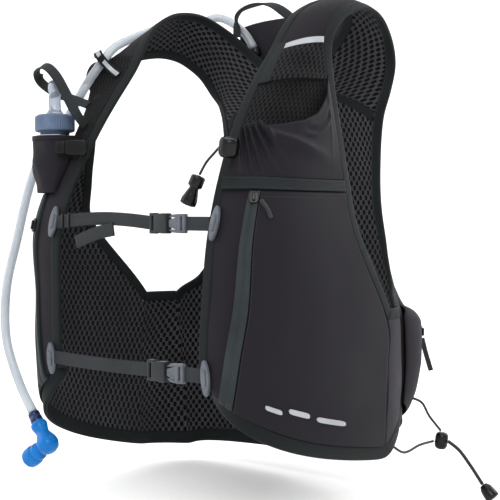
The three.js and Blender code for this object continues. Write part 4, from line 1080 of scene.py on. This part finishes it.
def pocketBulge(station, across):
    away = np.minimum(1, abs(across - fv["middle"]) / fv["halfSpan"])
    return readTable(flaskThickness, station) * (1 - away ** 2) ** 0.4


def flaskWindow(up, over):
    across = lerp(fv["middle"] - fv["halfSpan"], fv["middle"] + fv["halfSpan"], over)
    foot = pv["top"] + 4 * seamShare + pv["slope"] * across
    return lerp(foot, fv["top"], up), across


def flaskPocketLift(base):
    def lift(up, over):
        creases = 1.1 * np.sin(up * 11 + over * 7) * np.sin(math.pi * over) * (1 - up)
        creases = (creases + 0.5 * np.sin(over * 24 - up * 9)) * np.minimum(1, 4 * over)
        return base + pocketBulge(*flaskWindow(up, over)) + creases * np.minimum(1, 4 * (1 - over))
    return lift


def hemWindow(up, over):
    return lerp(*fv["hem"], up), flaskWindow(1, over)[1]


def hemLift(base):
    return lambda up, over: base + pocketBulge(*hemWindow(up, over))


flaskPocket = layer("flaskPocket", "flask_pocket", -1, 80, 90, flaskWindow, flaskPocketLift(layerLift),
                    flaskPocketLift(coverTop), ["stretch"], level=True, border=0.01)
layer("flaskPocketHem", None, -1, 8, 90, hemWindow, hemLift(coverTop - 0.3), hemLift(coverTop + 0.8),
      ["stretch"], level=True, border=0.05)


def flaskWindowBody(up, over):
    across = fv["middle"] + fv["halfSpan"] * fv["share"] * (2 * over - 1)
    return lerp(fv["foot"], fv["top"] + fv["aboveMouth"], up), across


def flaskSide(sign):
    def lift(up, over):
        station = flaskWindowBody(up, over)[0]
        thickness, standoff = readTable(flaskThickness, station), readTable(flaskStandoff, station)
        middle = layerLift + (thickness + standoff) / 2 - fv["sink"]
        deep = (thickness - standoff) / 2 - fv["wallGap"]
        return middle + sign * deep * np.sqrt(1 - fv["roundness"] * (2 * over - 1) ** 2)
    return lift


layer("flaskBody", "flask_body", -1, 40, 50, flaskWindowBody, flaskSide(-1), flaskSide(1), ["flask"],
      level=True)
capRings = [(0.1, -2.7), (15, -2.7), (15, 0), (19, 0), (20, 0.5), (20.5, 1.6), (20.5, 14), (20.2, 15.2),
            (19, 16.4), (18, 17), (14, 17.2), (9, 17.6), (0.1, 17.6)]
spoutRings = [(0.1, 0), (9, 0), (9, 1.4), (8, 2.4), (7.6, 3.4), (6.5, 5), (6.2, 12), (6, 23), (6.4, 24.4),
              (7, 25.6), (7.2, 28), (7, 31.4), (6, 34.4), (4, 36), (1.4, 36), (1.2, 35), (0.1, 35)]
neckWay = unit(bodyNormal(fv["top"], fv["capAcross"], -1) * np.array([1, 1, 0]))
capFoot = bodyPoint(fv["top"], fv["capAcross"], -1) + neckWay * fv["capOut"] + np.array([0, 0, fv["capUp"]])
capAxis = unit(np.array([-0.03, 0.02, 1]))
turned("flaskCap", "flask_cap", capRings, capFoot, capAxis, "cap", 240, 48, 0.8, (5, 6))
turned("flaskSpout", "flask_spout", spoutRings, capFoot + capAxis * fv["spoutStart"], capAxis, "spout")

tabValues = {"width": 10.6, "thickness": 1.8, "flatSide": (0.6, -0.5, 0.5)}
tabRoute = [tuple(onBody(-1, 6.3, 0.17, 3)), (-114, -141, -108), (-120, -148, -90), (-131, -153, -70),
            (-146, -153, -60), (-163, -148, -62), (-171, -140, -72), (-162, -127, -84), (-146, -117, -91),
            tuple(onBody(-1, 6.8, 0.45, 3.6))]
webbing("pullTab", "pull_tab", tabRoute, tabValues["flatSide"], tabValues["width"], tabValues["thickness"],
        "webbing", 90)
buckleParts = [((20, 15, 3.5), 6, (-99.5, -151.6)), ((9, 12, 2), 4.4, (-112, -161.8)),
               ((3, 13, 1.2), 5.6, (-107, -157.8)), ((8, 5, 2), 1.6, (-100.5, -155.3))]
buckleHigh = -145.4
roundedPlates("pocketBuckle", "pocket_buckle",
              [(roundedBox(*box), thickness, (*at, buckleHigh), (0.77, 0.64, 0), (0.64, -0.77, 0))
               for box, thickness, at in buckleParts], "dark", 0.9)
print("flask made")

# Chest straps with side release buckles.
strapValues = {"upper": {"station": 4.33, "high": -220, "buckle": 54, "rise": 4},
               "lower": {"station": 1.12, "high": -352, "buckle": 58, "rise": -1},
               "width": 12.5, "thickness": 1.8, "edge": 0.01, "railLift": 3.8 / 2 + 5 / 2 + 0.4,
               "clipReach": 5.4, "keepers": (0.86, 0.93)}
sv = strapValues
forward, rightward, upward = (0, -1, 0), (1, 0, 0), (0, 0, 1)
socketShell = [(-7.5, -8), (1, -9.2), (7.5, -9.2), (7.5, 9.2), (1, 9.2), (-7.5, 8), (-8.6, 4), (-8.6, -4)]
plugTongue = [(-6, -3.2), (5, -6.4), (5, 6.4), (-6, 3.2)]
plugArm = [(-7, 5.2), (-2, 8.2), (6, 8.6), (6, 6.2), (0, 5.6)]
otherArm = [(-7, -5.2), (0, -5.6), (6, -6.2), (6, -8.6), (-2, -8.2)]


def lens(length, width):
    outline = []
    for angle in np.arange(24) / 24 * 2 * math.pi:
        pinch = 0.75 + 0.25 * abs(math.sin(angle))
        outline.append((length / 2 * math.cos(angle), width / 2 * math.sin(angle) * pinch))
    return outline


# Outline, thickness, distance across from the buckle's middle and height above the strap.
socketParts = [(roundedBox(3, 17.5, 1.2), 5, -22.6, 0), (roundedBox(3, 17.5, 1.2), 6, -17, 0),
               (roundedBox(9, 3, 1.2), 5, -19.8, 8), (roundedBox(9, 3, 1.2), 5, -19.8, -8),
               (socketShell, 8, -8.6, 0)]
plugParts = [(plugTongue, 4.4, 6.2, 0), (plugArm, 5, 7, 0), (otherArm, 5, 7, 0),
             (roundedBox(3.4, 17, 1.2), 6, 13, 0), (roundedBox(3, 17, 1.2), 5, 18.6, 0),
             (roundedBox(8, 2.6, 1.1), 5, 15.8, 7.4), (roundedBox(8, 2.6, 1.1), 5, 15.8, -7.4)]


def strapPiece(name, node, points, steps):
    webbing(name, node, points, forward, sv["width"], sv["thickness"], "webbing", steps)


for name in ("upper", "lower"):
    row = sv[name]
    x, high = row["buckle"], row["high"]
    rail = onBody(1, row["station"], sv["edge"], sv["railLift"])
    deep = rail[1] + 1
    for kind, parts, key, bevel in (("Socket", socketParts, "plastic", 1.2), ("Plug", plugParts, "rail", 0.9)):
        plates = [(outline, thickness, (x + over, deep - 1, high + up), rightward, forward)
                  for outline, thickness, over, up in parts]
        roundedPlates(f"{name}Buckle{kind}", f"{name}_buckle_{kind.lower()}", plates, key, bevel)
    share = np.linspace(0, 1, 5)
    longTo = -rail[0] + sv["clipReach"]
    longWay = np.stack([lerp(x - 20.5, longTo, share), deep + 0 * share,
                        high + row["rise"] * np.sin(math.pi * share)], -1)
    strapPiece(f"{name}StrapRight", f"{name}_strap_right", longWay, 120)
    shortWay = [(x + 16, deep, high), (x + 24, deep, high), (rail[0] - sv["clipReach"], deep, high)]
    strapPiece(f"{name}StrapLeft", f"{name}_strap_left", shortWay, 30)
    for side, sideName in bothSides:
        at = onBody(side, row["station"], sv["edge"], sv["railLift"])
        way = bodyNormal(row["station"], sv["edge"], side)
        clip = [(lens(32, 10), 3.6, at - way * 0.6, upward, way),
                (roundedBox(15, 5, 2), 2.2, at + way * 1.6, upward, way)]
        roundedPlates(f"{name}RailClip{sideName.title()}", f"{name}_rail_clip_{sideName}", clip, "rail",
                      1.3)
    if name == "upper":
        for number, place in enumerate(sv["keepers"]):
            at = (lerp(x - 24.8, longTo, place), deep, high + row["rise"] * math.sin(math.pi * place))
            keeper = [(roundedBox(3, 15, 1.2), 4.6, at, rightward, forward)]
            roundedPlates(f"strapKeeper{number + 1}", None, keeper, "dark", 0.7)
tailRoute = [(-18, -177.4, -226), (-40, -178.5, -230), (-70, -178, -239)]
strapPiece("upperStrapTail", "upper_strap_tail", tailRoute, 40)
print("straps made")

# The back pack, the hang loop, the tube port and the tube keeper.
packValues = {"start": 16.4, "lift": layerLift + 2, "topHalf": 84, "topDeep": 84, "topHigh": 7, "collar": 0.3,
              "cloth": 1.4, "aboveHem": 0.04}
kv = packValues
packSpread = [[16.4, 0.8], [19.5, 0.72], [20.4, 0.74], [21, 0.95], [23, 0.95]]
packDepth = [[16.4, 16], [18, 20], [20, 22], [21, 24], [21.8, 22], [22.4, 15], [22.8, 7], [23, 1]]


def packPoint(down, over):
    below = np.maximum(0, (down - kv["collar"]) / (1 - kv["collar"]))
    station = lerp(kv["start"], backHem - kv["aboveHem"], below)
    away = abs(over)
    across = np.maximum(away * readTable(packSpread, station), 0.001)
    lift = kv["lift"] + readTable(packDepth, station) * np.maximum(0, 1 - away ** 2.6) ** 0.6
    crease = np.sin(down * 33 + over * 4) * 0.5 + np.sin(over * 19 + down * 12) * 0.5
    lift = lift + crease * np.maximum(0, 1 - away ** 4) * smooth(0.32, 0.45, down)
    point, normal = acrossSpine(station, across, over)
    point = point + normal * lift[..., None]
    high = np.clip(1 - down / kv["collar"], 0, 1)
    point[..., 0] = lerp(point[..., 0], over * kv["topHalf"], high)
    point[..., 1] = lerp(point[..., 1], kv["topDeep"] - 3 * over ** 2, high ** 3)
    point[..., 2] = lerp(point[..., 2], kv["topHigh"] - 6 * over ** 4, high)
    return point


down, over = np.meshgrid(edgeShares(150, 0.006), lerp(-1, 1, edgeShares(110)), indexing="ij")
packGrid = packPoint(down, over)
packWay = unit(np.cross(np.gradient(packGrid, axis=1), np.gradient(packGrid, axis=0)))
packWay = packWay * np.sign(packWay[75, 55, 1])  # outward, judged near the middle of the pack
backPack = sheetPiece("backPack", "back_pack", packGrid, packWay, 0, kv["cloth"], ["side"])
loopRoute = [(-74, 65, -11.4), (-73, 64, 3), (-62, 54, 13), (-30, 46, 18), (-8, 46, 15), (8, 52, 4),
             (16, 60, -7)]


def loopSide(share):
    return np.stack([0 * share, -np.cos(math.pi * share) ** 2, np.sin(math.pi * share)], -1)


webbing("hangLoop", "hang_loop", loopRoute, loopSide, 10, 2.2, "webbing", 90)
portRings = [(0.1, 0), (5.8, 0), (6.4, 0.6), (6.5, 8), (6, 9), (0.1, 9)]
turned("tubePort", "tube_port", portRings, (-57.2, 80, -32.8), (-0.3, -0.1, 1), "dark", 32)

# The keeper arches over the tube, with a reflective strip on it.
keeperValues = {"stations": (7.62, 8), "places": (0.12, 0.98), "width": 9, "thickness": 1.8,
                "stripLift": 1.1, "stripWidth": 4.6, "stripThickness": 0.5,
                "arch": [(0.12, 3.2), (0.3, 6), (0.5, 15), (0.66, 22), (0.88, 22), (0.99, 14)]}


def keeperRoute(lift):
    stations, arch = keeperValues["stations"], keeperValues["arch"]
    return [tuple(onBody(-1, lerp(*stations, place), place, high + lift)) for place, high in arch]


def keeperSide(share):
    return bodyNormal(lerp(*keeperValues["stations"], share), lerp(*keeperValues["places"], share), -1)


webbing("tubeKeeper", "tube_keeper", keeperRoute(0), keeperSide, keeperValues["width"],
        keeperValues["thickness"], "binding", 60)
webbing("keeperStrip", None, keeperRoute(keeperValues["stripLift"]), keeperSide, keeperValues["stripWidth"],
        keeperValues["stripThickness"], "silver", 60)

# Zip sliders and pulls. The body ones have side, station, across, lift and length.
sliderValues = {"left": (1, 4.72, 0.315, 2.6, 11), "right": (-1, 4.2, 0.28, 2.4, 14)}
sideSlider = (np.array([151.5, 93.5, -333]), unit(np.array([0.8, 0.3, 0])), 12)


def slider(name, node, at, way, length):
    plates = [(roundedBox(length, 8.6, 3), 2, at - way * 0.4, upward, way),
              (roundedBox(length * 0.66, 3, 1.2), 2.6, at + way * 1.4, upward, way)]
    roundedPlates(name, node, plates, "dark", 0.7)


for name, (side, station, across, lift, length) in sliderValues.items():
    slider(f"{name}ZipSlider", f"{name}_zip_slider", onBody(side, station, across, coverTop + lift),
           bodyNormal(station, across, side), length)
slider("sideZipSlider", "side_zip_slider", *sideSlider)
pullPlaces = ((4.66, 0.37, 2.4), (4.5, 0.42, 2), (4.34, 0.45, 2))
leftPull = [tuple(onBody(1, station, across, coverTop + lift)) for station, across, lift in pullPlaces]
pullWay = bodyNormal(*pullPlaces[1][:2], 1)
webbing("leftZipPull", "left_zip_pull", leftPull, pullWay, 3.4, 2, "cord", 24)
sidePull = [(151.9, 93.5, -339.3), (156, 94, -354), (161, 96, -372)]
webbing("sideZipPull", "side_zip_pull", sidePull, (0.6, -0.8, 0), 5, 3, "cord", 24)
print("pack and trim made")

bungeeLockRings = [(0.1, 0), (4.4, 0), (5.2, 0.6), (6.4, 3), (6.6, 6), (6.5, 12), (5.6, 15), (4, 16),
                   (0.1, 16)]
bungeeEndRings = [(0.1, 0), (3.4, 0), (4.2, 0.8), (6, 4), (6.4, 6), (6.6, 7), (7.3, 13.6), (6.8, 15.4),
                  (0.1, 16)]
bungeeLock = turned("bungeeLock", "bungee_lock", bungeeLockRings, (179, 84, -447), (0.15, 0, 1), "dark",
                    32)
bungeeEnd = turned("bungeeEnd", "bungee_end", bungeeEndRings, (226.5, 84, -476.6), (0.7, 0, -0.7), "dark",
                   10)

# Route, thickness, what the far end meets, and the pieces that move with the cord.
bungeeRuns = {
    "Upper": ([(142.4, 85.2, -399.9), (156, 86, -404), (166, 84, -416), (179.5, 84, -429.5)],
              cordValues["bungee"], "object", [bungeeLock]),
    "Lower": ([(160.1, 23.5, -437.1), (166, 36, -445), (170, 60, -441), (173.4, 79.7, -440)],
              cordValues["bungee"], "object", []),
    "Tail": ([(188, 84, -439), (200, 84, -446), (214, 84, -461), (226, 84, -476)],
             cordValues["tail"], "fitting", [bungeeEnd]),
}
for name, (route, diameter, farEnd, withPieces) in bungeeRuns.items():
    piece, line = tubePiece(f"bungee{name}", f"bungee_{name.lower()}", route, diameter, "cord", 10, 0.8)
print("bungee made")

# Stitches along the seams, laid by one node tree.
stitchValues = {"Spacing": 3.2, "Length": 2.1, "Thickness": 0.55}


def stitchTree():
    group = bpy.data.node_groups.new("stitchRow", "GeometryNodeTree")
    group.interface.new_socket("Lines", in_out="INPUT", socket_type="NodeSocketGeometry")
    for label in stitchValues:
        group.interface.new_socket(label, in_out="INPUT", socket_type="NodeSocketFloat")
    group.interface.new_socket("Material", in_out="INPUT", socket_type="NodeSocketMaterial")
    group.interface.new_socket("Stitches", in_out="OUTPUT", socket_type="NodeSocketGeometry")
    t = Tree(group)
    source, out = t.add("NodeGroupInput"), t.add("NodeGroupOutput")
    points = t.add("GeometryNodeResampleCurve",
                   {"Curve": source.outputs["Lines"], "Length": source.outputs["Spacing"]}, mode="LENGTH")
    ball = t.add("GeometryNodeMeshUVSphere", {"Segments": 6, "Rings": 4, "Radius": 0.5})
    size = t.add("ShaderNodeCombineXYZ", {"X": source.outputs["Thickness"], "Y": source.outputs["Thickness"],
                                          "Z": source.outputs["Length"]})
    shaped = t.add("GeometryNodeTransform", {"Geometry": ball.outputs["Mesh"], "Scale": size.outputs[0]})
    tangent = t.add("GeometryNodeInputTangent")
    turn = t.add("FunctionNodeAlignRotationToVector", {"Vector": tangent.outputs[0]}, axis="Z")
    laid = t.add("GeometryNodeInstanceOnPoints", {"Points": points.outputs[0], "Instance": shaped.outputs[0],
                                                  "Rotation": turn.outputs[0]})
    real = t.add("GeometryNodeRealizeInstances", {"Geometry": laid.outputs[0]})
    painted = t.add("GeometryNodeSetMaterial",
                    {"Geometry": real.outputs[0], "Material": source.outputs["Material"]})
    group.links.new(painted.outputs[0], out.inputs["Stitches"])
    return group


def stitchPiece(name, lines, values):
    curve = bpy.data.curves.new(name + "Lines", "CURVE")
    curve.dimensions = "3D"
    for line, closed in lines:
        spline = curve.splines.new("POLY")
        spline.points.add(len(line) - 1)
        spline.points.foreach_set("co", np.concatenate([line * mm, np.ones((len(line), 1))], 1).ravel())
        spline.use_cyclic_u = closed
    carrier = linked(name + "Lines", curve)
    modifier = carrier.modifiers.new("stitches", "NODES")
    modifier.node_group = stitchTree()
    sockets = {s.name: s.identifier for s in modifier.node_group.interface.items_tree if s.in_out == "INPUT"}
    for label, value in values.items():
        modifier[sockets[label]] = value * mm
    modifier[sockets["Material"]] = materials["stitch"]
    graph = bpy.context.evaluated_depsgraph_get()
    data = bpy.data.meshes.new_from_object(carrier.evaluated_get(graph))
    bpy.data.objects.remove(carrier)
    smoothed(data)
    declare(linked(name, data), None)


# A seam on a cover: the window is followed where it is held at one share, up or over.
def coverSeam(side, window, lift, up=None, over=None):
    share = np.linspace(0.01, 0.99, 160)
    up = share if up is None else up + 0 * share
    over = share if over is None else over + 0 * share
    station, across = window(up, over)
    seams.append((bodyPoint(station, across, side) + bodyNormal(station, across, side) * lift, False))


for side in (1, -1):
    coverSeam(side, lowerWindow, coverTop + 0.5, over=0.012)
    coverSeam(side, lowerWindow, coverTop + 0.5, up=0.975)
for up in (0.12, 0.88):
    coverSeam(1, bandWindow, coverTop + 1.3, up=up)
mouth = np.linspace(0.02, 0.98, 200)
mouthUp = 0.965 + 0 * mouth
station, across = stretchWindow(mouthUp, mouth)
seams.append((onBody(1, station, across, coverTop - 0.1 + stretchLift(mouthUp, mouth)), False))
stitchPiece("seamStitches", seams, stitchValues)
print("stitches made")

# Floor, backdrop and soft studio light.
stageValues = {"floorHeight": -0.5, "tone": (1, 1, 1, 1), "half": 8.0, "bendStart": 2.2, "bendRadius": 0.8,
               "wallHeight": 5.0, "world": 1.0}
lightValues = {"key": ((1.4, -1.6, 1.2), 30, 1.2), "fill": ((-1.6, -1.2, 0.5), 14, 1.6),
               "rim": ((1.0, 1.6, 0.8), 24, 1.2), "top": ((0, 0, 1.8), 16, 1.5)}


def addStage(values):
    size, start, radius = values["half"], values["bendStart"], values["bendRadius"]
    angles = np.linspace(0.1, math.pi / 2, 12)
    bend = [(start + radius * math.sin(angle), radius - radius * math.cos(angle)) for angle in angles]
    curve = [(-size, 0.0), (start, 0.0)] + bend + [(start + radius, values["wallHeight"])]
    turn = math.radians(cameraValues["azimuth"])
    work = bmesh.new()
    rows = []
    for y, z in curve:
        rows.append([work.verts.new((x * math.cos(turn) - y * math.sin(turn),
                                     x * math.sin(turn) + y * math.cos(turn),
                                     z + values["floorHeight"])) for x in (-size, size)])
    for a, b in zip(rows, rows[1:]):
        work.faces.new((a[0], a[1], b[1], b[0]))
    data = bpy.data.meshes.new("backdrop")
    work.to_mesh(data)
    work.free()
    smoothed(data)
    data.materials.append(newMaterial("backdrop", {"Base Color": values["tone"], "Roughness": 0.9})[0])
    linked("backdrop", data)


def addLight(name, place, power, size, target=(0, 0, -0.25)):
    data = bpy.data.lights.new(name, "AREA")
    data.energy = power
    data.size = size
    light = linked(name, data)
    light.location = place
    light.rotation_euler = (Vector(target) - Vector(place)).to_track_quat("-Z", "Y").to_euler()


addStage(stageValues)
for name, (place, power, size) in lightValues.items():
    addLight(name, place, power, size)
world = bpy.data.worlds.new("studio")
world.use_nodes = True
world.node_tree.nodes["Background"].inputs[0].default_value = (1, 1, 1, 1)
world.node_tree.nodes["Background"].inputs[1].default_value = stageValues["world"]
bpy.context.scene.world = world
bpy.context.scene.view_settings.view_transform = "Standard"
